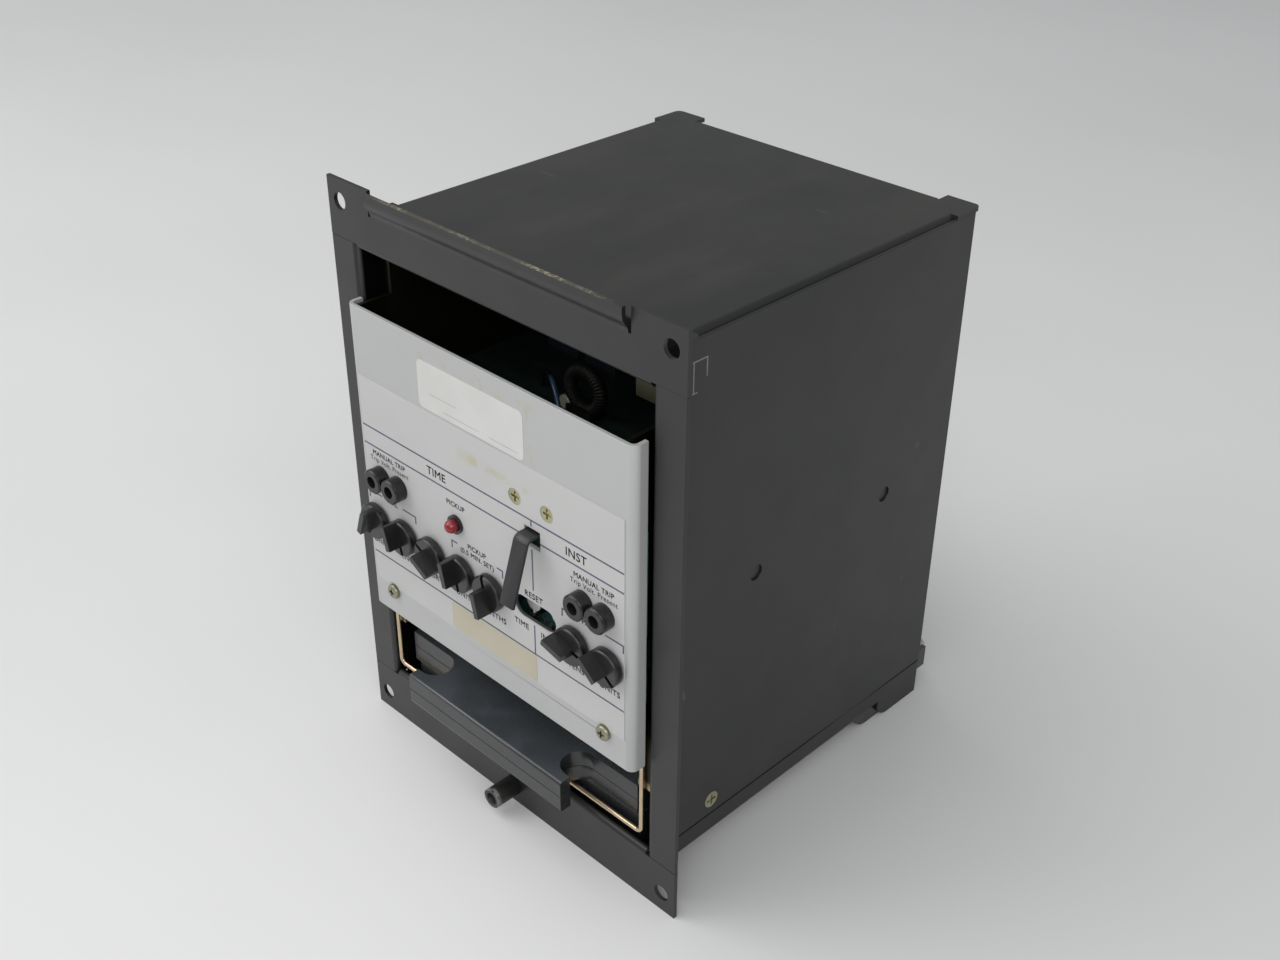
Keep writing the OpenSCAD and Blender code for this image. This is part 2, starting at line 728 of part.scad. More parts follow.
module top_cover() {
    lip_gap_w = lip_w + 2 * lip_slot;
    rear_edge_w = 2 * (half_w - rear_tab_l - lip_slot);
    color("#3a3a39") union() {
        along_y(0, sheet_t) difference() {
            front_strip_2d();
            flange_holes_2d();
            translate([-lip_gap_w / 2, flange_h / 2 - lip_h]) square([lip_gap_w, lip_h + 1]);
        }
        along_x(-lip_w / 2, lip_w) lip_2d();
        along_x(-hem_w / 2, hem_w) folded_front_2d(top_level);
        along_z(top_level - sheet_t, sheet_t) top_flat_2d();
        for (side = [-1, 1])
            mirrored_x(side) along_y(front_tab_end, rear_tab_y - front_tab_end) top_side_edge_2d();
        along_x(-rear_edge_w / 2, rear_edge_w) top_rear_edge_2d();
    }
}

module pan_bend_2d() {
    translate([tuck_x - bend_out, -low_level + bend_out]) bend_2d(1, -1, bend_r, bend_out);
}

module pan_flange_2d() {
    translate([tuck_x - sheet_t, -low_level + bend_out]) square([sheet_t, pan_flange_h - bend_out]);
}
module rounded_front_2d(y, z, d, h, r) {
    difference() {
        translate([y, z]) square([d, h]);
        translate([y, z]) difference() {
            square(r);
            translate([r, r]) circle(r);
        }
    }
}

module bottom_pan() {
    flat_x = tuck_x - bend_out;
    flange_y = leg_y + sheet_t + pan_flange_gap;
    color("#3a3a39") difference() {
        union() {
            mirror([0, 0, 1]) along_y(0, sheet_t) difference() {
                front_strip_2d();
                flange_holes_2d();
            }
            mirror([0, 0, 1]) along_x(-hem_w / 2, hem_w) folded_front_2d(low_level);
            box(-flat_x, flat_x, flat_y, block_y - fit, -low_level, pan_floor);
            for (side = [-1, 1]) mirrored_x(side) {
                along_y(flange_y, block_y - fit - flange_y) pan_bend_2d();
                along_y(flange_y, body_d + pan_out - flange_y) pan_flange_2d();
                along_x(tuck_x - sheet_t, sheet_t)
                    rounded_front_2d(skirt_y, block_bottom, skirt_l, skirt_h, skirt_r);
            }
        }
        rod_y(0, stud_z, -1, leg_y, stud_bore_d / 2);
        for (side = [-1, 1])
            mirrored_x(side) rod_x(tuck_x - 2 * sheet_t, half_w, side_screw_y, side_screw_z,
                side_thread_d / 2 + running);
    }
}

// Side panel of the right side: an upright wall with its front edge turned outward.
module side_panel() {
    wall_top = top_level - sheet_t;
    flange_top = strip_low - seam;
    bend_y = sheet_t + bend_r;
    color("#3a3a39") difference() {
        union() {
            box(inner_x, half_w, bend_y, body_d, side_low, wall_top);
            along_z(-flange_top, 2 * flange_top) {
                translate([half_w + bend_r, bend_y]) bend_2d(-1, -1, bend_r, bend_out);
                translate([half_w + bend_r, 0]) square([flange_w / 2 - half_w - bend_r, sheet_t]);
            }
        }
        cone_x(inner_x, half_w, side_screw_y, side_screw_z, side_thread_d / 2 + running,
            side_head_d / 2 + running);
        rod_x(inner_x - 1, half_w + 1, side_screw_y, side_screw_z, side_thread_d / 2 + running);
        for (y = [rivet_front_y, rivet_rear_y])
            rod_x(inner_x - 1, half_w + 1, y, rail_z, rivet_d / 2 + running);
    }
}

module left_side_panel() {
    mirrored_x(-1) side_panel();
}

module right_side_panel() {
    side_panel();
}

module back_panel() {
    face_y = top_rear_y - sheet_t - fit;
    top_z = top_level - top_edge_h;
    low_z = block_top + fit;
    edge_low = max(low_z, -low_level + pan_flange_h + 5 * fit);
    flat_x = tuck_x - bend_out;
    color("#3a3a39") union() {
        box(-flat_x, flat_x, face_y - sheet_t, face_y, low_z, top_z);
        for (side = [-1, 1]) mirrored_x(side) along_z(edge_low, top_z - edge_low) {
            translate([flat_x, face_y - bend_out]) bend_2d(1, 1, bend_r, bend_out);
            translate([tuck_x - sheet_t, face_y - back_edge]) square([sheet_t, back_edge - bend_out]);
        }
    }
}

module side_screws() {
    tip_x = tuck_x - sheet_t - side_thread_past;
    color("#b59a4e") for (side = [-1, 1]) mirrored_x(side) difference() {
        union() {
            cone_x(inner_x, half_w, side_screw_y, side_screw_z, side_thread_d / 2, side_head_d / 2);
            rod_x(tip_x, inner_x, side_screw_y, side_screw_z, side_thread_d / 2);
        }
        translate([half_w, side_screw_y, side_screw_z]) rotate([0, 0, 90])
            cross_y(0, 0, 0, side_head_d, sheet_t / 2);
    }
}

// Rail of the right side: a channel that opens towards the cradle.
module guide_rail() {
    slot = rail_slot / 2;
    x0 = rail_x - rail_lip;
    color("#9a9c9c") difference() {
        along_y(rail_front, rail_rear - rail_front) translate([0, rail_z]) {
            translate([rail_x, -slot - rail_t]) square([rail_t, rail_slot + 2 * rail_t]);
            translate([x0, slot]) square([rail_lip, rail_t]);
            translate([x0, -slot - rail_t]) square([rail_lip, rail_t]);
        }
        for (y = [rivet_front_y, rivet_rear_y])
            rod_x(rail_x - 1, half_w, y, rail_z, rivet_d / 4 + running);
    }
}

module left_guide_rail() {
    mirrored_x(-1) guide_rail();
}

module right_guide_rail() {
    guide_rail();
}

module rail_rivets() {
    color("#3a3a39") for (side = [-1, 1], y = [rivet_front_y, rivet_rear_y]) mirrored_x(side) {
        rod_x(inner_x, half_w - rivet_sink, y, rail_z, rivet_d / 2);
        rod_x(rail_x, inner_x, y, rail_z, rivet_d / 4);
    }
}

// Places a terminal's children at each screw of the two staggered rows.
module at_terminals() {
    for (row = [0, 1], i = [0:terminals - 1])
        translate([(i - (terminals - 1) / 2) * terminal_pitch + (row == 0 ? -1 : 1) * terminal_shift, 0,
            terminal_rows[row]]) children();
}

module terminal_block() {
    color("#232323") difference() {
        union() {
            along_x(-block_x, 2 * block_x) rounded_front_2d(block_y, block_bottom, block_d, block_h, block_r);
            at_terminals() box(-barrier_x, barrier_x, block_back - barrier_t, pad_back, -terminal_head_d / 2,
                terminal_head_d / 2);
            at_terminals() for (side = [-1, 1]) translate([side * barrier_x, 0, 0])
                box(-barrier_t / 2, barrier_t / 2, block_back - barrier_t, block_back + barrier_out,
                    -terminal_head_d / 2, terminal_head_d / 2);
        }
        at_terminals() rod_y(0, 0, pad_back - terminal_screw_l - barrier_t, pad_back + 1,
            terminal_thread_d / 2 + running);
    }
}

module terminal_screws() {
    seat = pad_back + clamp_t;
    crest = seat + terminal_head_h;
    color("#8d8a80") at_terminals() difference() {
        union() {
            rod_y(0, 0, pad_back, seat, terminal_head_d / 2 + clamp_past);
            rod_y(0, 0, seat, crest - rim_chamfer, terminal_head_d / 2);
            cone_y(0, 0, crest - rim_chamfer, crest, terminal_head_d / 2, terminal_head_d / 2 - rim_chamfer);
            rod_y(0, 0, pad_back - terminal_screw_l, pad_back, terminal_thread_d / 2);
        }
        box(-terminal_head_d, terminal_head_d, crest - terminal_head_h / 2, crest + 1, -terminal_slot / 2,
            terminal_slot / 2);
    }
}

module case_contact_block() {
    color("#232323") box(-plug_w / 2, plug_w / 2, case_block_y, case_block_y + contact_block_d, pan_floor,
        case_block_top);
}

// Section of a case contact: a finger on the block, a riser behind it and a strap to the terminals.
module case_contact_2d() {
    rear = case_block_y + contact_block_d;
    strap_z = pan_floor + strap_rise;
    finger_l = contact_block_d - contact_set + contact_t;
    translate([case_block_y + contact_set, case_block_top]) square([finger_l, contact_t]);
    translate([rear, strap_z]) square([contact_t, case_block_top - strap_z]);
    translate([rear, strap_z]) square([block_y - rear, contact_t]);
}

module case_contacts() {
    color("#c9a24a") for (x = contact_x) along_x(x - contact_w / 2, contact_w) case_contact_2d();
}

module cover_stud() {
    head_t = 2 * hem_r;
    color("#2b2b2b") difference() {
        union() {
            rod_y(0, stud_z, -stud_l, 0, stud_d / 2);
            rod_y(0, stud_z, -1, sheet_t, stud_bore_d / 2 - running);
            rod_y(0, stud_z, sheet_t, sheet_t + head_t, stud_d / 2 - head_t);
        }
        rod_y(0, stud_z, -stud_l - 1, -stud_l + stud_bore_l, stud_bore_d / 2);
    }
}

// Cradle

module window_2d(extra) {
    r = window_h / 2 + extra;
    flat = window_l / 2 - window_h / 2;
    translate([reset_x, window_z]) {
        for (side = [-1, 1]) translate([side * flat, 0]) circle(r);
        translate([-flat, -r]) square([2 * flat, 2 * r]);
    }
}

// Holes of the panel and its film, widened by a margin.
module control_holes_2d(extra) {
    window_2d(extra);
    translate([reset_x - lever_hole / 2 - extra, lever_hole_z - lever_hole / 2 - extra])
        square(lever_hole + 2 * extra);
    for (at = jack_at) translate(at) circle(jack_bush_d / 2 + running + extra);
    translate([lamp_x, lamp_z]) circle(lamp_d / 2 + 5 * fit + extra);
    for (x = knob_x) translate([x, knob_z]) circle(spindle_d / 2 + 3 * fit + extra);
}

module front_panel() {
    flat_x = panel_x - panel_r - panel_t;
    side_d = panel_proud - panel_back_gap;
    bend = panel_r + panel_t;
    color("#c9cbcc") difference() {
        union() {
            box(-flat_x, flat_x, panel_face, panel_back, panel_low, panel_low + panel_h);
            for (side = [-1, 1]) mirrored_x(side) along_z(panel_low, panel_h) {
                translate([flat_x, panel_face + bend]) bend_2d(1, -1, panel_r, bend);
                translate([panel_x - panel_t, panel_face + bend]) square([panel_t, side_d - bend]);
            }
        }
        along_y(panel_face - 1, panel_t + 2) control_holes_2d(0);
        flat_screw_holes();
        for (x = [pan_left_x, pan_right_x])
            rod_y(x, pan_z, panel_face - 1, panel_back + 1, panel_thread_d / 2 + running);
    }
}

module control_film() {
    x0 = -panel_x + film_left + panel_r + panel_t;
    x1 = panel_x - film_right - panel_r / 2;
    color("#dcdcda") along_y(film_face, film_t) difference() {
        translate([x0, film_z - film_h / 2]) square([x1 - x0, film_h]);
        control_holes_2d(fit);
        for (x = flat_at) translate([x, flat_z]) circle(flat_head_d / 2 + fit);
        for (x = [pan_left_x, pan_right_x]) translate([x, pan_z]) circle(pan_head_d / 2 + fit);
    }
}

module flat_screw_holes() {
    for (x = flat_at) {
        cone_y(x, flat_z, panel_face, panel_back, flat_head_d / 2 + running, panel_thread_d / 2 + running);
        rod_y(x, flat_z, panel_face - 1, panel_back + 1, panel_thread_d / 2 + running);
    }
}

module panel_flat_screws() {
    color("#c4ad62") for (x = flat_at) difference() {
        union() {
            cone_y(x, flat_z, panel_face, panel_back, flat_head_d / 2, panel_thread_d / 2);
            rod_y(x, flat_z, panel_back, panel_back + panel_screw_l, panel_thread_d / 2);
        }
        cross_y(x, flat_z, panel_face, flat_head_d, panel_t / 2);
    }
}

module panel_pan_screws() {
    crest = panel_face - pan_head_h;
    shoulder = panel_face - pan_head_h / 2;
    color("#c4ad62") for (x = [pan_left_x, pan_right_x]) difference() {
        union() {
            rod_y(x, pan_z, shoulder, panel_face, pan_head_d / 2);
            cone_y(x, pan_z, crest, shoulder, pan_head_d / 3, pan_head_d / 2);
            rod_y(x, pan_z, panel_face, panel_back + panel_screw_l, panel_thread_d / 2);
        }
        cross_y(x, pan_z, crest, pan_head_d, pan_head_h / 2);
    }
}

module front_board() {
    color("#1f5c45") box(-board_x, board_x, front_board_y, front_board_y + board_t, board_low, board_top);
}

// One standoff near each corner of the front board.
module board_standoffs() {
    color("#b9b9b4") for (side = [-1, 1], z = [board_low + standoff_margin, board_top - standoff_margin])
        rod_y(side * (board_x - standoff_side), z, panel_back, front_board_y, standoff_d / 2);
}

// Rotary switches on the front board, one behind each knob.
module switch_bodies() {
    half = switch_w / 2;
    front = panel_back + switch_gap;
    color("#2a3a55") for (x = knob_x) difference() {
        box(x - half, x + half, front, front_board_y, knob_z - half, knob_z + half);
        rod_y(x, knob_z, front - 1, front_board_y - switch_floor, spindle_d / 2 + running);
    }
}

module test_jack(i) {
    at = jack_at[i];
    face = film_face - jack_out;
    rim = face + rim_chamfer;
    foot = front_board_y - jack_pin_l;
    color("#1e1e1e") difference() {
        union() {
            rod_y(at[0], at[1], rim, film_face, jack_d / 2);
            cone_y(at[0], at[1], face, rim, jack_d / 2 - rim_chamfer, jack_d / 2);
            rod_y(at[0], at[1], film_face, panel_back, jack_bush_d / 2);
            rod_y(at[0], at[1], panel_back, foot, jack_d / 2 - rim_chamfer);
            rod_y(at[0], at[1], foot, front_board_y, jack_pin_d / 2);
        }
        rod_y(at[0], at[1], face - 1, face + jack_bore_l, jack_bore_d / 2);
    }
}

module test_jack_1() { test_jack(0); }
module test_jack_2() { test_jack(1); }
module test_jack_3() { test_jack(2); }
module test_jack_4() { test_jack(3); }

module pickup_lamp() {
    r = lamp_d / 2;
    dome = panel_face - lamp_out + r;
    color("#7d1420") {
        rod_y(lamp_x, lamp_z, dome, front_board_y, r);
        translate([lamp_x, dome, lamp_z]) sphere(r);
    }
}

module lamp_bezel() {
    r = lamp_d / 2 + running;
    color("#1e1e1e") difference() {
        union() {
            rod_y(lamp_x, lamp_z, film_face - bezel_out, film_face, r + bezel_rim);
            rod_y(lamp_x, lamp_z, film_face, panel_back + bezel_back, lamp_d / 2 + 4 * fit);
        }
        rod_y(lamp_x, lamp_z, film_face - bezel_out - 1, panel_back + bezel_back + 1, r);
    }
}

// Bracket behind the panel that holds the lever's pin between two ears.
module lever_bracket() {
    ear_low = lever_pivot_z - bracket_ear;
    ear_rear = lever_pivot_y + bracket_ear;
    plate_low = lever_hole_z + lever_hole / 2 + bracket_t / 2;
    plate_top = flat_z + bracket_margin;
    color("#b59a4e") difference() {
        union() {
            box(flat_at[0] - bracket_margin, flat_at[1] + bracket_margin, panel_back, panel_back + bracket_t,
                plate_low, plate_top);
            for (side = [-1, 1]) translate([reset_x + side * (lever_hole / 2 + bracket_t), 0, 0]) {
                box(-bracket_t / 2, bracket_t / 2, panel_back, ear_rear, plate_low, flat_z);
                box(-bracket_t / 2, bracket_t / 2, lever_pivot_y - bracket_ear, ear_rear, ear_low, plate_low);
            }
        }
        for (x = flat_at)
            rod_y(x, flat_z, panel_back - 1, panel_back + bracket_t + 1, panel_thread_d / 2 + running);
        rod_x(reset_x - lever_hole, reset_x + lever_hole, lever_pivot_y, lever_pivot_z,
            lever_pin_d / 2 + running);
    }
}

module lever_pin() {
    reach = lever_hole / 2 + 2 * bracket_t;
    color("#b9b9b4") rod_x(reset_x - reach, reset_x + reach, lever_pivot_y, lever_pivot_z, lever_pin_d / 2);
}

// Frame of a target: a base on the front board and two ears that hold the flag's axle.
module target_frames() {
    ear = flag_d / 2 + flag_gap;
    half = flag_frame_w / 2;
    top = ear + flag_frame_t;
    color("#2b2b2b") for (x = flag_x) translate([x, 0, flag_z]) difference() {
        union() {
            box(-half, half, front_board_y - flag_frame_t, front_board_y, -top, top);
            for (z = [-top, ear])
                box(-half, half, flag_y - flag_frame_front, front_board_y, z, z + flag_frame_t);
        }
        translate([0, flag_y, -top - 1]) cylinder(h = 2 * top + 2, r = flag_axle_d / 2 + running);
    }
}

// Side plate of the right side: tabs to the panel, an ear turned outward behind the bail's leg, ledges
// for the main board and the hole for the bail.
module frame_plate() {
    ear_low = cradle_block_top - ear_drop;
    color("#b8a066") difference() {
        union() {
            box(plate_in, plate_x, plate_y, cradle_rear, cradle_block_low, cradle_top);
            box(plate_in, plate_x, panel_back, plate_y, crossbar_low, crossbar_top);
            box(plate_in, plate_x, panel_back, plate_y, board_top + bracket_margin, panel_low + panel_h);
            box(plate_in, ear_x, ear_y, ear_y + plate_t, ear_low, crossbar_top);
            for (y = [cradle_block_y + ledge_front, cradle_rear - ledge_rear])
                box(plate_in - ledge_w, plate_in, y, y + ledge_l, main_board_z - plate_t, main_board_z);
        }
        rod_x(plate_in - 1, plate_x + 1, bail_y, bail_pivot_z, wire_d / 2 + running);
    }
}

module left_frame_plate() {
    mirrored_x(-1) frame_plate();
}

// The right side plate also has a tab turned inward at its top front corner, with a relief hole at the bend.
module right_frame_plate() {
    frame_plate();
    color("#b8a066") difference() {
        box(plate_in - top_tab_w, plate_x, plate_y, plate_y + plate_t, cradle_top - top_tab_h, cradle_top);
        rod_y(plate_in - top_tab_hole, cradle_top - top_tab_hole, plate_y - 1, plate_y + plate_t + 1,
            top_tab_hole / 2);
    }
}

module rear_frame_plate() {
    color("#b8a066") box(-plate_in, plate_in, cradle_rear - plate_t, cradle_rear, floor_top,
        main_board_z - plate_t);
}

module cradle_floor() {
    color("#b8a066") box(-plate_in, plate_in, cradle_block_y, cradle_rear, cradle_block_top, floor_top);
}

// Angle behind the panel's lower edge that takes the pan-head screws.
module panel_crossbar() {
    color("#b8a066") difference() {
        union() {
            box(-plate_in, plate_in, panel_back, panel_back + plate_t, crossbar_low, crossbar_top);
            box(-plate_in, plate_in, panel_back, panel_back + crossbar_d, crossbar_low,
                crossbar_low + plate_t);
        }
        for (x = [pan_left_x, pan_right_x])
            rod_y(x, pan_z, panel_back - 1, panel_back + plate_t + 1, panel_thread_d / 2 + running);
    }
}

// Slide bar of the right side plate, which runs in the guide rail.
module runner() {
    half = rail_slot / 2 - slide_gap;
    color("#d8d4c6") box(plate_x, rail_x - slide_gap, rail_front + runner_set, cradle_rear, rail_z - half,
        rail_z + half);
}

module left_runner() {
    mirrored_x(-1) runner();
}

module right_runner() {
    runner();
}

module cradle_contact_block() {
    color("#232323") box(-plate_in, plate_in, cradle_block_y, cradle_block_y + contact_block_d,
        cradle_block_low, cradle_block_top);
}

module cradle_contacts() {
    rear = cradle_block_y + contact_block_d;
    color("#c9a24a") for (x = contact_x) {
        box(x - contact_w / 2, x + contact_w / 2, cradle_block_y + contact_set, rear + contact_t,
            cradle_block_low - contact_t, cradle_block_low);
        box(x - contact_w / 2, x + contact_w / 2, rear, rear + contact_t, cradle_block_low,
            cradle_block_top - contact_set);
    }
}

module main_board() {
    side = plate_in - 4 * fit;
    color("#1f5c45") box(-side, side, cradle_block_y + contact_set, cradle_rear - board_gap, main_board_z,
        main_top);
}

// Wound ring on edge in a small moulded foot.
module ring_choke() {
    foot = [choke_foot_w, choke_t + 2 * choke_foot_edge, choke_foot_h];
    color("#30343c") translate([0, choke_y, main_top]) {
        translate([0, 0, choke_d / 2]) rotate([90, 0, 0]) rotate_extrude()
            translate([choke_d / 2 - choke_t / 2, 0]) circle(choke_t / 2);
        translate([-foot[0] / 2, -foot[1] / 2, 0]) cube(foot);
    }
}

module output_relays() {
    y0 = choke_y + relay_behind;
    color("#39414a") for (side = [-1, 1]) translate([relay_x + side * relay_pitch / 2, 0, 0])
        box(-relay_w / 2, relay_w / 2, y0, y0 + relay_d, main_top, main_top + relay_h);
}

// Upright can with a bead rolled in near its foot.
module capacitor() {
    r = capacitor_d / 2;
    bead_z = 3 * capacitor_bead;
    color("#2f3a66") translate([capacitor_x, choke_y + capacitor_behind, main_top]) difference() {
        cylinder(h = capacitor_h, r = r);
        rotate_extrude() translate([r, bead_z]) circle(capacitor_bead);
    }
}

module transformer_cores() {
    color("#55565a") for (x = core_x) along_y(core_y, core_d) translate([x, floor_top]) difference() {
        translate([-core_w / 2, 0]) square([core_w, core_h]);
        for (side = [-1, 1]) translate([side * (core_mid + core_window) / 2 - core_window / 2, core_leg])
            square([core_window, core_h - 2 * core_leg]);
    }
}

module transformer_coils() {
    half = core_mid / 2 + core_window - coil_gap;
    hole = core_mid / 2 + coil_gap;
    h = core_h - 2 * core_leg - 2 * coil_gap;
    z0 = floor_top + core_leg + coil_gap;
    color("#b08a4a") for (x = core_x) along_z(z0, h) translate([x, core_y]) difference() {
        translate([-half, -coil_out]) square([2 * half, core_d + 2 * coil_out]);
        translate([-hole, -coil_gap]) square([2 * hole, core_d + 2 * coil_gap]);
    }
}

// Moving parts

// A knob with its spindle: a disc, a grip bar with drafted sides across it and an index groove past the
// bar's end.
module knob(i) {
    back = panel_face - knob_gap;
    face = back - knob_disc_h;
    crest = face - knob_bar_h;
    r = knob_d / 2;
    foot = knob_bar_t / 2;
    tip = foot - knob_draft;
    color("#262626") translate([knob_x[i], 0, knob_z]) rotate([0, -knob_turns[i], 0]) difference() {
        union() {
            rod_y(0, 0, face + rim_chamfer, back, r);
            cone_y(0, 0, face, face + rim_chamfer, r - rim_chamfer, r);
            rod_y(0, 0, back, front_board_y - switch_floor - 5 * fit, spindle_d / 2);
            intersection() {
                along_x(-r, r + knob_bar_past) polygon([[face + rim_chamfer, -foot], [face, -foot],
                    [crest, -tip], [crest, tip], [face, foot], [face + rim_chamfer, foot]]);
                rod_y(0, 0, crest, face + rim_chamfer, r);
            }
        }
        box(knob_bar_past, r + 1, face - 1, face + index_d, -index_w / 2, index_w / 2);
    }
}

module knob_1() { knob(0); }
module knob_2() { knob(1); }
module knob_3() { knob(2); }
module knob_4() { knob(3); }
module knob_5() { knob(4); }
module knob_6() { knob(5); }
module knob_7() { knob(6); }

// Bent strip that turns on its pin behind the panel and hangs down in front of it.
module reset_lever() {
    color("#2a2a2a") difference() {
        union() {
            along_x(reset_x - lever_w / 2, lever_w) lever_2d();
            rod_x(reset_x - lever_w / 2, reset_x + lever_w / 2, lever_pivot_y, lever_pivot_z,
                lever_pin_d / 2 + lever_eye);
        }
        rod_x(reset_x - lever_w, reset_x + lever_w, lever_pivot_y, lever_pivot_z, lever_pin_d / 2 + running);
    }
}

// Section of the lever: straight out from the pivot, round the bend and down to the tip.
module lever_2d() {
    bend_y = panel_face - lever_bend_out;
    fall_y = lever_tip_out - lever_bend_out;
    turn = 90 - atan2(fall_y, lever_drop);
    tangent = lever_bend_r * tan(turn / 2);
    low = lever_bend_r - lever_t / 2;
    hang = norm([fall_y, lever_drop]) - tangent;
    translate([bend_y + tangent, lever_pivot_z - lever_bend_r]) {
        translate([0, low]) square([lever_pivot_y - bend_y - tangent, lever_t]);
        intersection() {
            rotate(turn) {
                arc_2d(low, low + lever_t, 90 - turn - arc_over, 90);
                translate([-hang, low]) square([hang, lever_t]);
            }
            translate([-lever_drop, -2 * lever_drop]) square([lever_drop, 3 * lever_drop]);
        }
    }
}

module target_flag(x) {
    reach = flag_d / 2 + flag_gap + flag_frame_t;
    color("#d9d9d2") {
        rod_y(x, flag_z, flag_y - flag_t / 2, flag_y + flag_t / 2, flag_d / 2);
        translate([x, flag_y, flag_z - reach]) cylinder(h = 2 * reach, r = flag_axle_d / 2);
    }
}

module target_flag_1() { target_flag(flag_x[0]); }
module target_flag_2() { target_flag(flag_x[1]); }

// Wire bail: two legs hung in the side plates and a bar that passes under the plug.
module bail() {
    r = wire_d / 2;
    color("#c9a862") union() {
        rod_x(-bail_x + bail_r, bail_x - bail_r, bail_y, bail_low, r);
        for (side = [-1, 1]) mirrored_x(side) {
            translate([bail_x, bail_y, bail_low + bail_r])
                cylinder(h = bail_pivot_z - bail_low - bail_r, r = r);
            translate([bail_x - bail_r, bail_y, bail_low + bail_r]) rotate([90, 0, 0]) rotate([0, 0, -90])
                rotate_extrude(angle = 90) translate([bail_r, 0]) circle(r);
            translate([bail_x, bail_y, bail_pivot_z]) sphere(r);
            rod_x(plate_in - pin_reach, bail_x, bail_y, bail_pivot_z, r);
        }
    }
}

// Outline of the plug seen from above, drawn in by an inset: body, neck with round notches, front bar.
module plug_outline_2d(inset) {
    notch_r = (plug_out - plug_bar_d + plug_back) / 2;
    notch_y = plug_back - notch_r;
    notch_x = plug_neck_w / 2 + notch_r;
    bar_x = plug_bar_w / 2 - inset;
    body_x = plug_w / 2 - inset;
    difference() {
        union() {
            translate([-bar_x, -plug_out + inset]) square([2 * bar_x, plug_out + plug_back - inset + 1]);
            translate([-body_x, plug_back + inset]) square([2 * body_x, plug_d - 2 * inset]);
        }
        for (side = [-1, 1]) mirror([side < 0 ? 1 : 0, 0]) {
            translate([notch_x, notch_y]) circle(notch_r + inset);
            translate([notch_x, notch_y - notch_r - inset]) square([plug_w, 2 * (notch_r + inset)]);
        }
    }
}

// Section of a plug contact, folded round the plug's rear edge.
module plug_contact_2d(extra) {
    y0 = plug_back + plug_contact_set;
    y1 = plug_back + plug_d;
    translate([y0, plug_top - contact_t]) square([y1 - y0, contact_t + extra]);
    translate([y0, plug_low - extra]) square([y1 - y0, contact_t + extra]);
    translate([y1 - contact_t, plug_low - extra]) square([contact_t + extra, plug_t + 2 * extra]);
}

// Section of the plug seen from its end, with its front edges rounded.
module plug_section_2d() {
    r = plug_edge_r;
    translate([-plug_out + r, plug_low]) square([plug_out + plug_back + plug_d - r, plug_t]);
    translate([-plug_out, plug_low + r]) square([2 * r, plug_t - 2 * r]);
    for (z = [plug_low + r, plug_top - r]) translate([-plug_out + r, z]) circle(r);
}

module plug_body() {
    half = (plug_t - plug_groove) / 2;
    color("#1c1c1c") difference() {
        intersection() {
            union() {
                along_z(plug_low, half) plug_outline_2d(0);
                along_z(plug_low + half, plug_groove) plug_outline_2d(plug_groove);
                along_z(plug_top - half, half) plug_outline_2d(0);
            }
            along_x(-plug_w / 2, plug_w) plug_section_2d();
        }
        for (x = contact_x) along_x(x - contact_w / 2, contact_w) plug_contact_2d(1);
    }
}

module plug_contacts() {
    color("#c9a24a") for (x = contact_x) along_x(x - contact_w / 2, contact_w) plug_contact_2d(0);
}

top_cover();
bottom_pan();
left_side_panel();
right_side_panel();
back_panel();
side_screws();
left_guide_rail();
right_guide_rail();
rail_rivets();
terminal_block();
terminal_screws();
case_contact_block();
case_contacts();
cover_stud();
front_panel();
control_film();
panel_flat_screws();
panel_pan_screws();
front_board();
board_standoffs();
switch_bodies();
test_jack_1();
test_jack_2();
test_jack_3();
test_jack_4();
pickup_lamp();
lamp_bezel();
lever_bracket();
lever_pin();
target_frames();
left_frame_plate();
right_frame_plate();
rear_frame_plate();
cradle_floor();
panel_crossbar();
left_runner();
right_runner();
cradle_contact_block();
cradle_contacts();
main_board();
ring_choke();
output_relays();
capacitor();
transformer_cores();
transformer_coils();
knob_1();
knob_2();
knob_3();
knob_4();
knob_5();
knob_6();
knob_7();
reset_lever();
target_flag_1();
target_flag_2();
bail();
plug_body();
plug_contacts();
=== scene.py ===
import math

import bpy
from mathutils import Matrix, Vector


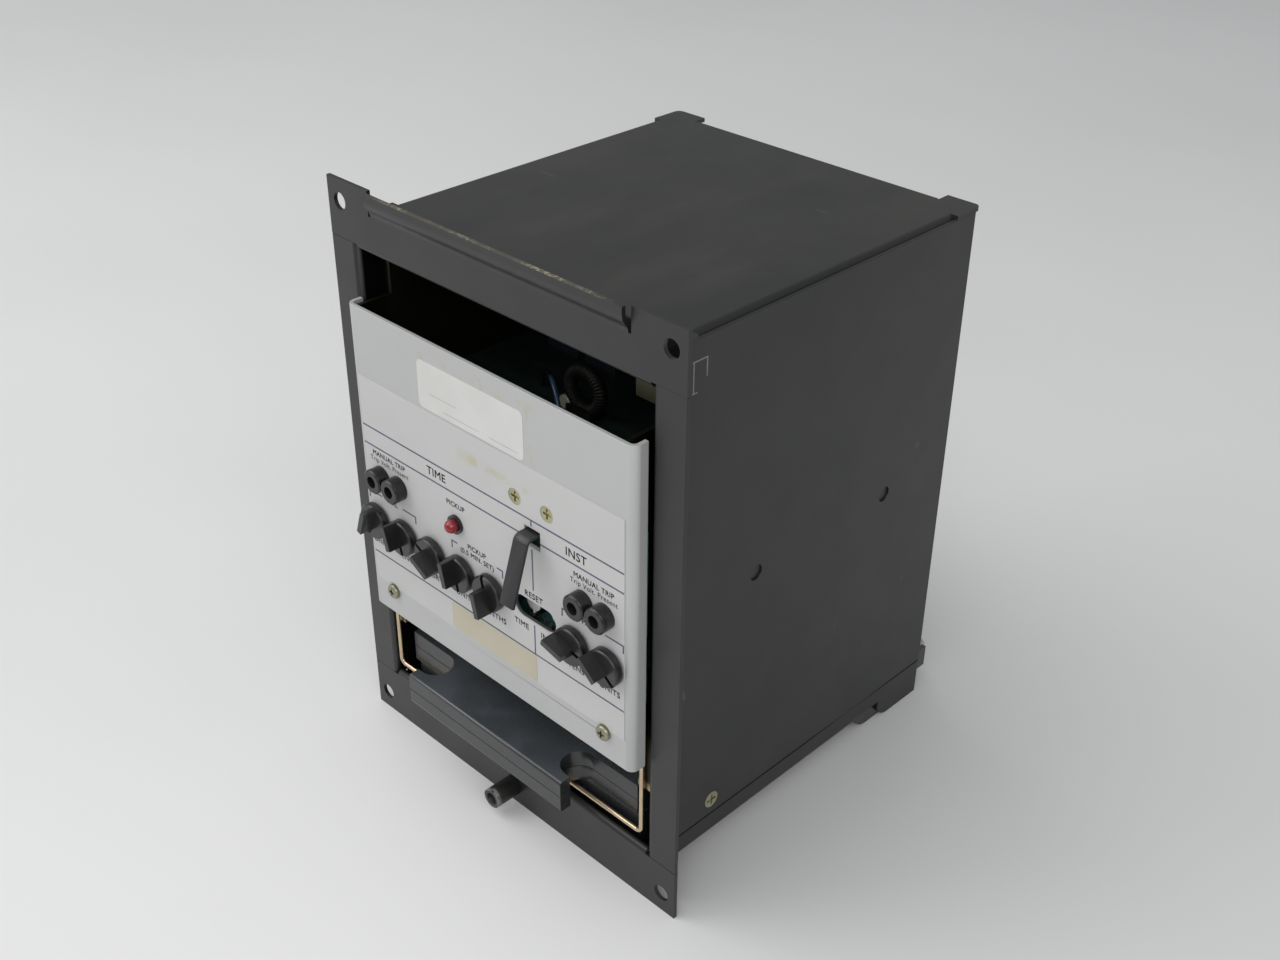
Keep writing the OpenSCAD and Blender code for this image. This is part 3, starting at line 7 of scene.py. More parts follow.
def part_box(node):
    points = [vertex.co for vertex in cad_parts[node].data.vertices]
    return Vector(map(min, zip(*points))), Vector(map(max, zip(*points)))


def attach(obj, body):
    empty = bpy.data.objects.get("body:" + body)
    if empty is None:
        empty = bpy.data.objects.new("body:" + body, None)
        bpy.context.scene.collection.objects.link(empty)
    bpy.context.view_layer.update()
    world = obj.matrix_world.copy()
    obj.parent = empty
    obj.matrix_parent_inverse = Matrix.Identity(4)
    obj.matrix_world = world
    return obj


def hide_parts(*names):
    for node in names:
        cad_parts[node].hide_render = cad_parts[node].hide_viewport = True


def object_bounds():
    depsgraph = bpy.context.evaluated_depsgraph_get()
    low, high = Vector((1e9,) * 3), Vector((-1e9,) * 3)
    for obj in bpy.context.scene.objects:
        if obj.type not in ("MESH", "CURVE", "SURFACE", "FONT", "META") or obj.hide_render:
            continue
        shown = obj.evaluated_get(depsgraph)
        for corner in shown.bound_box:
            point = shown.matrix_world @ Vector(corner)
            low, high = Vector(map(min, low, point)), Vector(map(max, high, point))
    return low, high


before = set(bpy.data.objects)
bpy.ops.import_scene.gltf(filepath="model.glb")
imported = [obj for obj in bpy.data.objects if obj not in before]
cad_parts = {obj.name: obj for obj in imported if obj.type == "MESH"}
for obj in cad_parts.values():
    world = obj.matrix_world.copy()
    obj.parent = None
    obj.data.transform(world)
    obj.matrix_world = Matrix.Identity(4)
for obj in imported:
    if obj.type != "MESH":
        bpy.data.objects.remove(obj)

# A flush-mounted drawout protection relay on a pale table.
# Lengths are millimetres times MM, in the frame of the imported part.
MM = 0.001
CAD_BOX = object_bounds()

# Places taken from the frame


def middle(node):
    low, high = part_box(node)
    return (low + high) / 2


CASE_TOP = CAD_BOX[1].z
PANEL_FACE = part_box("front_panel")[0].y
FILM_LOW, FILM_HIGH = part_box("control_film")
FILM_FACE = FILM_LOW.y
SIDE_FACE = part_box("side_screws")[1].x
SIDE_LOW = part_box("right_side_panel")[0].z
BOARD_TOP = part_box("main_board")[1].z
CHOKE = middle("ring_choke")
LAMP = middle("pickup_lamp")
KNOBS = [middle(f"knob_{i}") for i in range(1, 8)]
JACKS = [middle(f"test_jack_{i}") for i in range(1, 5)]

# Lines on the film, with the target window and the lever's hole that they keep clear of
RULE = 0.65 * MM
PRINT_T = 0.02 * MM
LINE_INSET = 0.1 * MM
LINE_TOP = 27.6 * MM
LINE_TITLE = 20.2 * MM
LINE_LOW = -27.0 * MM
DIVIDER_X = 23.45 * MM
WINDOW_Z = -9.5 * MM
WINDOW_HALF = (14 * MM, 6.5 * MM)
LEVER_HOLE_X = (20.0 * MM, 27.7 * MM)

# Brackets over the knobs: left end, right end and the gap for their word
BRACKET_Z = -0.3 * MM
BRACKET_DROP = 3.0 * MM
BRACKETS = [
    (-66.4 * MM, -39.5 * MM, 12 * MM),
    (-19.1 * MM, 7.8 * MM, 21 * MM),
    (37.5 * MM, 66 * MM, 12 * MM),
]

# Words: heights of their capitals, a capital of the font at size 1, and how far strokes are thickened there
TITLE_CAP = 3.35 * MM
LARGE_CAP = 2.4 * MM
SMALL_CAP = 2.05 * MM
FONT_CAP = 0.73
BOLD = 0.022
MEDIUM = 0.012
LIGHT = 0.006

# The stuck label above the film, the yellowed rest of an older one, and the cream plate at the film's foot
STICKER_X = (-32.15 * MM, 20.85 * MM)
STICKER_Z = (FILM_HIGH.z + 0.9 * MM, FILM_HIGH.z + 18.9 * MM)
STICKER_T = 0.12 * MM
FORM_RULE = 0.18 * MM
REST_X = (-13 * MM, -3 * MM)
REST_Z = (35.8 * MM, 40.2 * MM)
SMEAR_X = (-8 * MM, 22 * MM)
SMEAR_Z = (36.6 * MM, 39.0 * MM)
PLATE_X = (-21.45 * MM, 24.05 * MM)
PLATE_Z = (FILM_LOW.z + 0.4 * MM, FILM_LOW.z + 11.9 * MM)
PLATE_T = 0.1 * MM

# Left end and foot of the marks on the front board
MARKS_X = 10.0 * MM
MARKS_Z = -24.4 * MM

# The case's sheet, the painted shade in the step under its side panels and in the corner behind its flange
SHEET_T = 1.6 * MM
SEAM_SHADE_DEEP = 2.95 * MM
SEAM_SHADE_FADE_Y = (100 * MM, 132 * MM)
CORNER_SHADE_Y = (10 * MM, 12.5 * MM)
LIP_WORN_X = (-58 * MM, 50 * MM)

# Where painted shade covers the plates' gold plating: above the bail's ears, and behind them
SHADE_ABOVE_EARS_Z = (-64.5 * MM, -61 * MM)
SHADE_BEHIND_EARS_Y = (3 * MM, 10 * MM)

# Turns that stand a flat piece up
TO_FRONT = (math.pi / 2, 0, 0)
TO_SIDE = (0, math.pi / 2, 0)

# Shader maths


class Value:
    """A shader socket that takes part in sums. Each operator adds one Math node."""

    def __init__(self, finish, socket):
        self.finish = finish
        self.socket = socket

    def __add__(self, other):
        return self.finish.math("ADD", self, other)

    __radd__ = __add__

    def __sub__(self, other):
        return self.finish.math("SUBTRACT", self, other)

    def __rsub__(self, other):
        return self.finish.math("SUBTRACT", other, self)

    def __mul__(self, other):
        return self.finish.math("MULTIPLY", self, other)

    __rmul__ = __mul__

    def __truediv__(self, other):
        return self.finish.math("DIVIDE", self, other)


class Finish:
    """A material on one Principled shader, with the patterns that the finishes share."""

    def __init__(self, name, **constants):
        self.material = bpy.data.materials.new(name)
        self.material.use_nodes = True
        self.tree = self.material.node_tree
        self.tree.nodes.clear()
        output = self.tree.nodes.new("ShaderNodeOutputMaterial")
        self.shader = self.tree.nodes.new("ShaderNodeBsdfPrincipled")
        self.tree.links.new(self.shader.outputs[0], output.inputs[0])
        self.place = self.node("ShaderNodeTexCoord", out="Object")
        for key, value in constants.items():
            self.set(key.replace("_", " ").title().replace("Ior", "IOR"), value)

    def feed(self, socket, value):
        if isinstance(value, Value):
            self.tree.links.new(value.socket, socket)
        else:
            socket.default_value = value

    def node(self, kind, settings=None, sockets=None, out=0):
        made = self.tree.nodes.new(kind)
        for key, value in (settings or {}).items():
            setattr(made, key, value)
        for key, value in (sockets or {}).items():
            self.feed(made.inputs[key], value)
        return Value(self, made.outputs[out])

    def set(self, socket, value):
        self.feed(self.shader.inputs[socket], value)

    def math(self, operation, first, second=0):
        return self.node("ShaderNodeMath", {"operation": operation}, {0: first, 1: second})

    def axes(self):
        parts = self.node("ShaderNodeSeparateXYZ", sockets={0: self.place}).socket.node
        return [Value(self, parts.outputs[i]) for i in range(3)]

    def up(self):
        facing = self.node("ShaderNodeNewGeometry", out="Normal")
        return self.node("ShaderNodeSeparateXYZ", sockets={0: facing}, out=2)

    def stretched(self, scale, turn=(0, 0, 0)):
        sockets = {"Vector": self.place, "Scale": scale, "Rotation": turn}
        return self.node("ShaderNodeMapping", sockets=sockets)

    def noise(self, scale, detail=2.0, place=None, rough=0.5):
        sockets = {"Vector": place or self.place, "Scale": scale, "Detail": detail, "Roughness": rough}
        return self.node("ShaderNodeTexNoise", sockets=sockets)

    def ramp(self, value, low, high):
        """0 below low, 1 above high, smooth between. Low may be the larger one."""
        if low > high:
            return 1 - self.ramp(value, high, low)
        sockets = {"Value": value, "From Min": low, "From Max": high}
        return self.node("ShaderNodeMapRange", {"interpolation_type": "SMOOTHSTEP"}, sockets)

    def within(self, value, low, high, soft):
        return self.ramp(value, low - soft, low + soft) * self.ramp(value, high + soft, high - soft)

    def mix(self, factor, first, second):
        """Blends two colours, by the colour sockets 6 and 7 and output 2 of a Mix node."""
        first, second = (c if isinstance(c, Value) else (*c, 1.0) for c in (first, second))
        return self.node("ShaderNodeMix", {"data_type": "RGBA"}, {0: factor, 6: first, 7: second}, out=2)

    def bump(self, height, depth):
        self.set("Normal", self.node("ShaderNodeBump", sockets={"Height": height, "Distance": depth}))

    def skin(self, base, other, rough, grain, depth, patch):
        """Colour that wavers between two tones, a roughness that wavers with it and a fine grain."""
        tone = self.noise(patch, 4)
        self.set("Base Color", self.mix(self.ramp(tone, 0.35, 0.65), base, other))
        self.set("Roughness", rough + 0.12 * (self.noise(patch * 3, 3) - 0.5))
        self.bump(self.noise(grain, 2), depth)
        return self


# Finishes of the object


def case_paint():
    """Semi-matt black enamel: dusty and scuffed, with painted shade in the step under the side panels and in
    the corner behind the flange, worn bare along the lip's upper edge.
    """
    f = Finish("case_paint_worn", specular_ior_level=0.62)
    x, y, z = f.axes()
    tone = f.mix(f.ramp(f.noise(22, 4), 0.3, 0.7), (0.0075, 0.0079, 0.0074), (0.0115, 0.0118, 0.0108))
    # Painted shade: a dark band on the pan's flange just under the side panels, fainter over part of the
    # depth, and dark paint on the case just behind the flange; the same mask raises metallic and roughness
    # there.
    painted_seam_shade = f.within(z, SIDE_LOW - SEAM_SHADE_DEEP, SIDE_LOW, 0.12 * MM) * f.ramp(y, SHEET_T, SHEET_T + 1.4 * MM)
    painted_seam_shade = painted_seam_shade * (1 - 0.8 * f.within(y, *SEAM_SHADE_FADE_Y, 14 * MM))
    corner = f.ramp(y, CORNER_SHADE_Y[1], CORNER_SHADE_Y[0]) * f.ramp(y, SHEET_T, SHEET_T + 0.8 * MM)
    dark = f.math("MAXIMUM", painted_seam_shade, corner) * 0.9
    tone = f.mix(dark, tone, (0.0015, 0.0015, 0.0014))
    f.set("Metallic", dark)
    streaks = f.noise(9, 5, f.stretched((1.7, 0.5, 1), (0, 0, 0.6)), 0.62)
    dust = f.ramp(f.up(), 0.8, 0.98) * f.ramp(streaks, 0.42, 0.72)
    tone = f.mix(dust * 0.42, tone, (0.060, 0.058, 0.048))
    scuffs = f.noise(3, 2, f.stretched((9, 70, 40), (0, 0, -0.35)))
    scuff = f.ramp(scuffs, 0.70, 0.80) * f.ramp(f.noise(18, 2), 0.5, 0.62)
    tone = f.mix(scuff * 0.4, tone, (0.12, 0.125, 0.13))
    edge = f.ramp(z, CASE_TOP - 0.24 * MM, CASE_TOP - 0.04 * MM)
    chips = 0.16 + 0.84 * f.ramp(f.noise(900, 3), 0.42, 0.62) * f.ramp(f.noise(45, 2), 0.42, 0.62)
    worn = edge * chips * f.within(x, *LIP_WORN_X, 10 * MM)
    f.set("Base Color", f.mix(worn * 0.85, tone, (0.30, 0.27, 0.18)))
    f.set("Roughness", 0.34 + 0.14 * f.noise(60, 3) + 0.16 * dust + 0.4 * dark)
    f.bump(f.noise(1100, 2) + 0.4 * f.noise(240, 2), 0.016 * MM)
    return f


def stud_paint():
    """The case's enamel, rubbed bare round the rim of the stud's open end."""
    low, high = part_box("cover_stud")
    rim = (high.x - low.x) / 2
    tip = ((low.x + high.x) / 2, low.y, (low.z + high.z) / 2)
    f = Finish("stud_paint_worn", specular_ior_level=0.6)
    away = f.node("ShaderNodeVectorMath", {"operation": "DISTANCE"}, {0: f.place, 1: tip}, out="Value")
    band = f.ramp(away, rim - 0.6 * MM, rim - 0.2 * MM) * f.ramp(away, rim + 0.5 * MM, rim + 0.15 * MM)
    rubbed = band * f.ramp(f.noise(420, 3), 0.36, 0.56)
    tone = f.mix(f.ramp(f.noise(60, 3), 0.3, 0.7), (0.0075, 0.0079, 0.0074), (0.0125, 0.0128, 0.0118))
    f.set("Base Color", f.mix(rubbed * 0.8, tone, (0.27, 0.27, 0.26)))
    f.set("Roughness", 0.36 + 0.14 * f.noise(160, 3))
    f.set("Metallic", rubbed * 0.5)
    f.bump(f.noise(1100, 2), 0.016 * MM)
    return f


def plated(name, base, tints, rough, scale=60, painted_shade_inside=False):
    """Plated steel that shifts from a base colour to two tints. It may carry painted shade off the bail's
    ears.
    """
    f = Finish(name, metallic=1.0)
    shade = f.mix(f.ramp(f.noise(scale, 3), 0.35, 0.6), base, tints[0])
    shade = f.mix(f.ramp(f.noise(scale * 1.8, 3), 0.5, 0.72) * 0.8, shade, tints[1])
    if painted_shade_inside:
        # Painted shade for the dark inside of the case: near black above the ears, dull olive behind them.
        _, y, z = f.axes()
        shade = f.mix(f.ramp(z, *SHADE_ABOVE_EARS_Z), shade, (0.045, 0.043, 0.030))
        shade = f.mix(f.ramp(y, *SHADE_BEHIND_EARS_Y), shade, (0.085, 0.080, 0.055))
    f.set("Base Color", shade)
    lines = f.noise(700, 2)
    f.set("Roughness", rough + 0.14 * (lines - 0.5))
    f.bump(lines, 0.01 * MM)
    return f


def panel_aluminium():
    """Etched light grey aluminium: yellowed glue round the stuck label, painted shade on the cut rim of the
    target window.
    """
    f = Finish("panel_etched", specular_ior_level=0.4)
    x, y, z = f.axes()
    tone = f.mix(f.ramp(f.noise(16, 3), 0.3, 0.7), (0.445, 0.447, 0.445), (0.472, 0.475, 0.472))
    glue_x = f.within(x, STICKER_X[0] + 1 * MM, STICKER_X[1] + 5 * MM, 2.5 * MM)
    glue_z = f.within(z, STICKER_Z[0] - 3 * MM, STICKER_Z[1] + 4 * MM, 2 * MM)
    blot = f.ramp(f.noise(150, 4), 0.50, 0.64)
    front = f.ramp(y, PANEL_FACE + 0.4 * MM, PANEL_FACE + 0.1 * MM)
    glue = glue_x * glue_z * blot * front
    # Painted shade: the cut edge round the target window, behind the panel's face, is coloured dark.
    wide, high = WINDOW_HALF
    rim_x = f.within(x, DIVIDER_X - wide, DIVIDER_X + wide, 0.5 * MM)
    rim_z = f.within(z, WINDOW_Z - high, WINDOW_Z + high, 0.5 * MM)
    rim = rim_x * rim_z * (1 - f.ramp(y, PANEL_FACE + 0.3 * MM, PANEL_FACE + 0.1 * MM))
    tone = f.mix(rim * 0.9, tone, (0.035, 0.040, 0.038))
    f.set("Base Color", f.mix(glue * 0.6, tone, (0.43, 0.41, 0.31)))
    grain = f.noise(1, 2, f.stretched((160, 160, 2600)))
    f.set("Roughness", 0.42 + 0.10 * (grain - 0.5) + 0.15 * glue)
    f.set("Metallic", 0.25 - 0.2 * glue)
    f.bump(grain, 0.006 * MM)
    return f


def control_film():
    """Off-white printed film with the yellowed rest of an older label and its smear."""
    f = Finish("film_satin", specular_ior_level=0.35)
    x, _, z = f.axes()
    tone = f.mix(f.ramp(f.noise(20, 3), 0.3, 0.7), (0.480, 0.482, 0.475), (0.507, 0.508, 0.499))
    rest = f.within(z, *REST_Z, 0.7 * MM) * f.within(x, *REST_X, 1.2 * MM)
    smear = f.within(z, *SMEAR_Z, 0.9 * MM) * f.within(x, *SMEAR_X, 3 * MM)
    yellow = rest * 0.45 + smear * f.ramp(f.noise(140, 4), 0.44, 0.6)
    f.set("Base Color", f.mix(yellow * 0.75, tone, (0.46, 0.43, 0.31)))
    f.set("Roughness", 0.46 + 0.12 * (f.noise(70, 3) - 0.5))
    f.bump(f.noise(1500, 2), 0.006 * MM)
    return f


def moulding(name, base, other, rough, **constants):
    """Moulded or oxidised surface with a fine even grain."""
    return Finish(name, **constants).skin(base, other, rough, 1300, 0.02 * MM, 60)


def phenolic():
    """Polished black moulding with a faint flow pattern and a lighter bluish top, partly dust and partly
    painted reflection of the room.
    """
    f = Finish("phenolic_polished", specular_ior_level=0.7)
    flow = f.noise(35, 4, f.stretched((1, 3, 1)))
    tone = f.mix(f.ramp(flow, 0.3, 0.7), (0.012, 0.0125, 0.014), (0.019, 0.020, 0.022))
    # Partly dust, partly painted reflection: faces that look up are lighter and bluish.
    dust = f.ramp(f.up(), 0.7, 0.98) * (0.6 + 0.4 * f.ramp(f.noise(50, 4), 0.4, 0.7))
    f.set("Base Color", f.mix(dust * 0.8, tone, (0.072, 0.082, 0.092)))
    f.set("Roughness", 0.20 + 0.14 * f.noise(90, 3))
    f.bump(f.noise(160, 2), 0.012 * MM)
    return f


def circuit_board(name, base, lane):
    """Solder mask over copper tracks that show as lighter lanes, some upright and some level."""
    f = Finish(name, specular_ior_level=0.5)
    x, y, z = f.axes()
    upright = f.math("PINGPONG", x + 0.2 * z, 1.27 * MM) / MM
    level = f.math("PINGPONG", z + 0.3 * y, 1.9 * MM) / MM
    route = f.ramp(f.noise(90, 1), 0.49, 0.51)
    lanes = f.ramp(upright, 0.75, 0.85) * route + f.ramp(level, 1.2, 1.3) * (1 - route)
    f.set("Base Color", f.mix(lanes * 0.8, base, lane))
    f.set("Roughness", 0.30 + 0.10 * f.noise(200, 2))
    f.bump(lanes, 0.03 * MM)
    return f


def red_lamp():
    """Diffused red epoxy, brighter at its tip than at its foot."""
    f = Finish("lamp_epoxy", coat_weight=0.3, coat_roughness=0.08)
    depth = f.ramp(f.axes()[1], PANEL_FACE - 5 * MM, PANEL_FACE)
    f.set("Base Color", f.mix(depth, (0.24, 0.004, 0.012), (0.10, 0.002, 0.006)))
    f.set("Roughness", 0.22 + 0.08 * f.noise(600, 2))
    f.bump(f.noise(400, 2), 0.01 * MM)
    return f


def winding():
    """Enamelled wire laid turn by turn round the ring, coloured near black as painted shade for the dark
    inside of the case.
    """
    wire_turns = 46
    f = Finish("winding_enamel", specular_ior_level=0.25)
    x, _, z = f.axes()
    angle = f.math("ARCTAN2", z - CHOKE.z, x - CHOKE.x)
    turns = f.math("PINGPONG", angle * (wire_turns / math.tau), 0.5) * 2
    # Painted shade: both tones of the wire are near black.
    f.set("Base Color", f.mix(turns, (0.002, 0.002, 0.0015), (0.007, 0.007, 0.005)))
    f.set("Roughness", 0.5 + 0.1 * f.noise(300, 2))
    f.bump(turns, 0.25 * MM)
    return f


def laminations():
    """Varnished steel sheets stacked along the depth."""
    half_sheet = 0.25 * MM
    f = Finish("core_sheets", metallic=0.6)
    sheets = f.math("PINGPONG", f.axes()[1], half_sheet) / half_sheet
    f.set("Base Color", f.mix(f.ramp(sheets, 0.0, 0.3), (0.03, 0.03, 0.03), (0.16, 0.16, 0.165)))
    f.set("Roughness", 0.40 + 0.15 * f.noise(120, 3))
    f.bump(f.ramp(sheets, 0.0, 0.4), 0.05 * MM)
    return f


def coil_tape():
    """Varnished tape wound round a coil, with its laps."""
    lap = 7 * MM
    f = Finish("tape_varnished", coat_weight=0.3)
    laps = f.math("FRACT", f.axes()[2] / lap + 0.15 * f.noise(30, 2))
    f.set("Base Color", f.mix(f.ramp(laps, 0.0, 1.0), (0.36, 0.22, 0.07), (0.52, 0.36, 0.14)))
    f.set("Roughness", 0.35 + 0.12 * f.noise(90, 3))
    f.bump(laps, 0.12 * MM)
    return f


def lead_sleeve(lit_x):
    """Blue wire insulation that is dark to the left of lit_x, in the shade of the panel."""
    f = Finish("lead_blue", specular_ior_level=0.6)
    lit = f.ramp(f.axes()[0], lit_x, lit_x + 3 * MM)
    f.set("Base Color", f.mix(lit, (0.004, 0.005, 0.008), (0.030, 0.060, 0.115)))
    f.set("Roughness", 0.22 + 0.1 * f.noise(500, 2))
    f.bump(f.noise(900, 2), 0.01 * MM)
    return f


def paper(name, base, aged, rough=0.55):
    """Printed label stock with faint fibres and ageing."""
    f = Finish(name, specular_ior_level=0.3)
    fibres = f.noise(1, 3, f.stretched((500, 500, 1600)))
    f.set("Base Color", f.mix(f.ramp(f.noise(55, 4), 0.35, 0.75) * 0.7, base, aged))
    f.set("Roughness", rough + 0.12 * (fibres - 0.5))
    f.bump(fibres, 0.008 * MM)
    return f


def ink(name, base, other):
    """Screen-printed ink, a little uneven in depth."""
    return Finish(name, specular_ior_level=0.3).skin(base, other, 0.5, 2500, 0.004 * MM, 200)


def laminate():
    """Pale satin table top."""
    f = Finish("table_laminate", specular_ior_level=0.4)
    f.set("Base Color", f.mix(f.ramp(f.noise(2.5, 3), 0.3, 0.7), (0.70, 0.70, 0.695), (0.73, 0.73, 0.725)))
    f.set("Roughness", 0.36 + 0.1 * f.noise(40, 3))
    return f


INK_SLATE = ink("ink_slate", (0.082, 0.090, 0.138), (0.106, 0.114, 0.168))
INK_GREY = ink("ink_grey", (0.26, 0.29, 0.30), (0.32, 0.34, 0.35))
INK_WHITE = ink("ink_white", (0.62, 0.64, 0.62), (0.70, 0.71, 0.69))
INK_PALE = ink("ink_pale", (0.16, 0.16, 0.13), (0.22, 0.22, 0.18))


# Modelling by hand


def clear_selection():
    if bpy.context.object and bpy.context.object.mode != "OBJECT":
        bpy.ops.object.mode_set(mode="OBJECT")
    bpy.ops.object.select_all(action="DESELECT")


def pick(piece):
    clear_selection()
    piece.select_set(True)
    bpy.context.view_layer.objects.active = piece


def apply_place():
    bpy.ops.object.transform_apply(location=True, rotation=True, scale=True)


def settle(piece, name, body, finish):
    """Names a finished piece, puts its place into its mesh and hangs it on a body."""
    pick(piece)
    apply_place()
    piece.name = name
    piece.data.materials.clear()
    piece.data.materials.append(finish.material)
    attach(piece, body)


def start_strokes():
    """Opens an empty piece in edit mode, to draw flat bars on."""
    clear_selection()
    bpy.ops.mesh.primitive_plane_add(size=1, location=(0, 0, 0))
    piece = bpy.context.object
    bpy.ops.object.mode_set(mode="EDIT")
    bpy.ops.mesh.delete(type="VERT")
    return piece


def stroke(low, high, turn):
    """One flat bar between two corners of the same depth, stood up by turn."""
    at = [(a + b) / 2 for a, b in zip(low, high)]
    size = [b - a or 1 for a, b in zip(low, high)]
    bpy.ops.mesh.primitive_plane_add(size=1, location=at, rotation=turn)
    bpy.ops.transform.resize(value=size, center_override=at)


def end_strokes(step):
    """Gives all bars their thickness along step and leaves edit mode."""
    bpy.ops.mesh.select_all(action="SELECT")
    bpy.ops.mesh.extrude_region_move(TRANSFORM_OT_translate={"value": step})
    close_shell()


def close_shell():
    bpy.ops.mesh.select_all(action="SELECT")
    bpy.ops.mesh.normals_make_consistent(inside=False)
    bpy.ops.object.mode_set(mode="OBJECT")


def rule_x(x0, x1, z, wide=RULE, y=FILM_FACE):
    stroke((x0, y, z - wide / 2), (x1, y, z + wide / 2), TO_FRONT)


def rule_z(x, z0, z1, wide=RULE, y=FILM_FACE):
    stroke((x - wide / 2, y, z0), (x + wide / 2, y, z1), TO_FRONT)


def stuck_label(x, z, back, thick, corner):
    """A label with round corners and a softened front edge, stuck on at the depth back."""
    clear_selection()
    at = (sum(x) / 2, back, sum(z) / 2)
    bpy.ops.mesh.primitive_plane_add(size=1, location=at, rotation=TO_FRONT)
    piece = bpy.context.object
    bpy.ops.object.mode_set(mode="EDIT")
    bpy.ops.transform.resize(value=(x[1] - x[0], 1, z[1] - z[0]), center_override=at)
    bpy.ops.mesh.bevel(offset=corner, segments=6, affect="VERTICES")
    bpy.ops.mesh.extrude_region_move(TRANSFORM_OT_translate={"value": (0, -thick, 0)})
    bpy.ops.mesh.bevel(offset=thick * 0.3, segments=2, affect="EDGES")
    close_shell()
    return piece


def word(text, x, z, cap, weight=BOLD):
    """A word printed on the film: its capitals are cap high and it is centred on x and z."""
    clear_selection()
    bpy.ops.object.text_add(location=(0, 0, 0))
    made = bpy.context.object
    made.data.body = text
    made.data.align_x = "CENTER"
    made.data.size = 1.0
    made.data.space_character = 1.06
    made.data.extrude = 0.002
    made.data.resolution_u = 3
    bpy.ops.object.convert(target="MESH")
    bpy.ops.object.mode_set(mode="EDIT")
    bpy.ops.mesh.select_all(action="SELECT")
    bpy.ops.transform.translate(value=(-weight, -weight, 0))
    for step in ((2 * weight, 0, 0), (0, 2 * weight, 0), (-2 * weight, 0, 0)):
        bpy.ops.mesh.duplicate_move(TRANSFORM_OT_translate={"value": step})
    bpy.ops.object.mode_set(mode="OBJECT")
    made.data.transform(Matrix.Scale(cap / FONT_CAP, 4) @ Matrix.Translation((0, -FONT_CAP / 2, 0)))
    made.data.transform(Matrix.Rotation(math.pi / 2, 4, "X"))
    made.data.transform(Matrix.Translation((x, FILM_FACE, z)))
    return made


def join(pieces):
    clear_selection()
    for piece in pieces:
        piece.select_set(True)
    bpy.context.view_layer.objects.active = pieces[0]
    bpy.ops.object.join()
    return bpy.context.object


# Print, labels and marks


def panel_rules():
    """Lines across the film, the divider and the brackets over the knobs."""
    rules = start_strokes()
    left = FILM_LOW.x + LINE_INSET
    right = FILM_HIGH.x - LINE_INSET
    for z in (LINE_TOP, LINE_LOW):
        rule_x(left, right, z)
    rule_x(left, LEVER_HOLE_X[0], LINE_TITLE)
    rule_x(LEVER_HOLE_X[1], right, LINE_TITLE)
    rule_z(DIVIDER_X, LINE_TITLE + 5.0 * MM, LINE_TOP)
    rule_z(DIVIDER_X, BRACKET_Z, LINE_TITLE - 4.0 * MM)
    rule_z(DIVIDER_X, LINE_LOW, WINDOW_Z - 5.2 * MM)
    for x0, x1, gap in BRACKETS:
        mid = (x0 + x1) / 2
        rule_x(x0, mid - gap / 2, BRACKET_Z)
        rule_x(mid + gap / 2, x1, BRACKET_Z)
        for x in (x0, x1):
            rule_z(x, BRACKET_Z - BRACKET_DROP, BRACKET_Z + RULE / 2)
    end_strokes((0, -PRINT_T, 0))
    settle(rules, "panel_rules", "cradle", INK_SLATE)


def panel_legends():
    """Plain words that name the controls."""
    title_z = (LINE_TOP + LINE_TITLE) / 2
    target_z = WINDOW_Z - 7.6 * MM
    target_off = 6.6 * MM
    knob_z = KNOBS[0].z - 10.4 * MM
    dial, pickup, instant = (sum(bracket[:2]) / 2 for bracket in BRACKETS)
    words = [
        word("TIME", -25.5 * MM, title_z, TITLE_CAP, MEDIUM),
        word("INST", 44.6 * MM, title_z, TITLE_CAP, MEDIUM),
        word("PICKUP", LAMP.x, LAMP.z + 7.6 * MM, SMALL_CAP),
        word("RESET", DIVIDER_X, WINDOW_Z + 6.6 * MM, LARGE_CAP),
        word("TIME", DIVIDER_X - target_off, target_z, LARGE_CAP),
        word("INST", DIVIDER_X + target_off, target_z, LARGE_CAP),
        word("DIAL", dial, BRACKET_Z, SMALL_CAP),
        word("PICKUP", pickup, BRACKET_Z + 1.6 * MM, SMALL_CAP),
        word("(0.5 MIN. SET)", pickup, BRACKET_Z - 1.4 * MM, SMALL_CAP),
        word("PICKUP", instant, BRACKET_Z, SMALL_CAP),
    ]
    for first, second in ((0, 1), (2, 3)):
        pair = (JACKS[first] + JACKS[second]) / 2
        words.append(word("MANUAL TRIP", pair.x, pair.z + 9.4 * MM, SMALL_CAP))
        words.append(word("Trip Volt. Present", pair.x, pair.z + 6.7 * MM, SMALL_CAP, LIGHT))
    for at, text in zip(KNOBS, ("UNITS", "TENTHS", "CURVE", "UNITS", "TENTHS", "TENS", "UNITS")):
        words.append(word(text, at.x, knob_z, LARGE_CAP))
    settle(join(words), "panel_legends", "cradle", INK_SLATE)


def sticker():
    """White stuck label with a plain ruled form on it."""
    label = stuck_label(STICKER_X, STICKER_Z, PANEL_FACE, STICKER_T, 2.2 * MM)
    settle(label, "stuck_label", "cradle", paper("label_white", (0.61, 0.615, 0.60), (0.555, 0.55, 0.52)))
    form = start_strokes()
    face = PANEL_FACE - STICKER_T
    left, right = STICKER_X
    upper = STICKER_Z[0] + 6.6 * MM
    lower = STICKER_Z[0] + 2.2 * MM
    rule_x(left + 6 * MM, left + 20 * MM, upper, FORM_RULE, face)
    rule_x(left + 13 * MM, left + 31 * MM, lower, FORM_RULE, face)
    rule_x(left + 36 * MM, right - 2.5 * MM, lower, FORM_RULE, face)
    end_strokes((0, -PRINT_T, 0))
    settle(form, "stuck_label_lines", "cradle", INK_GREY)


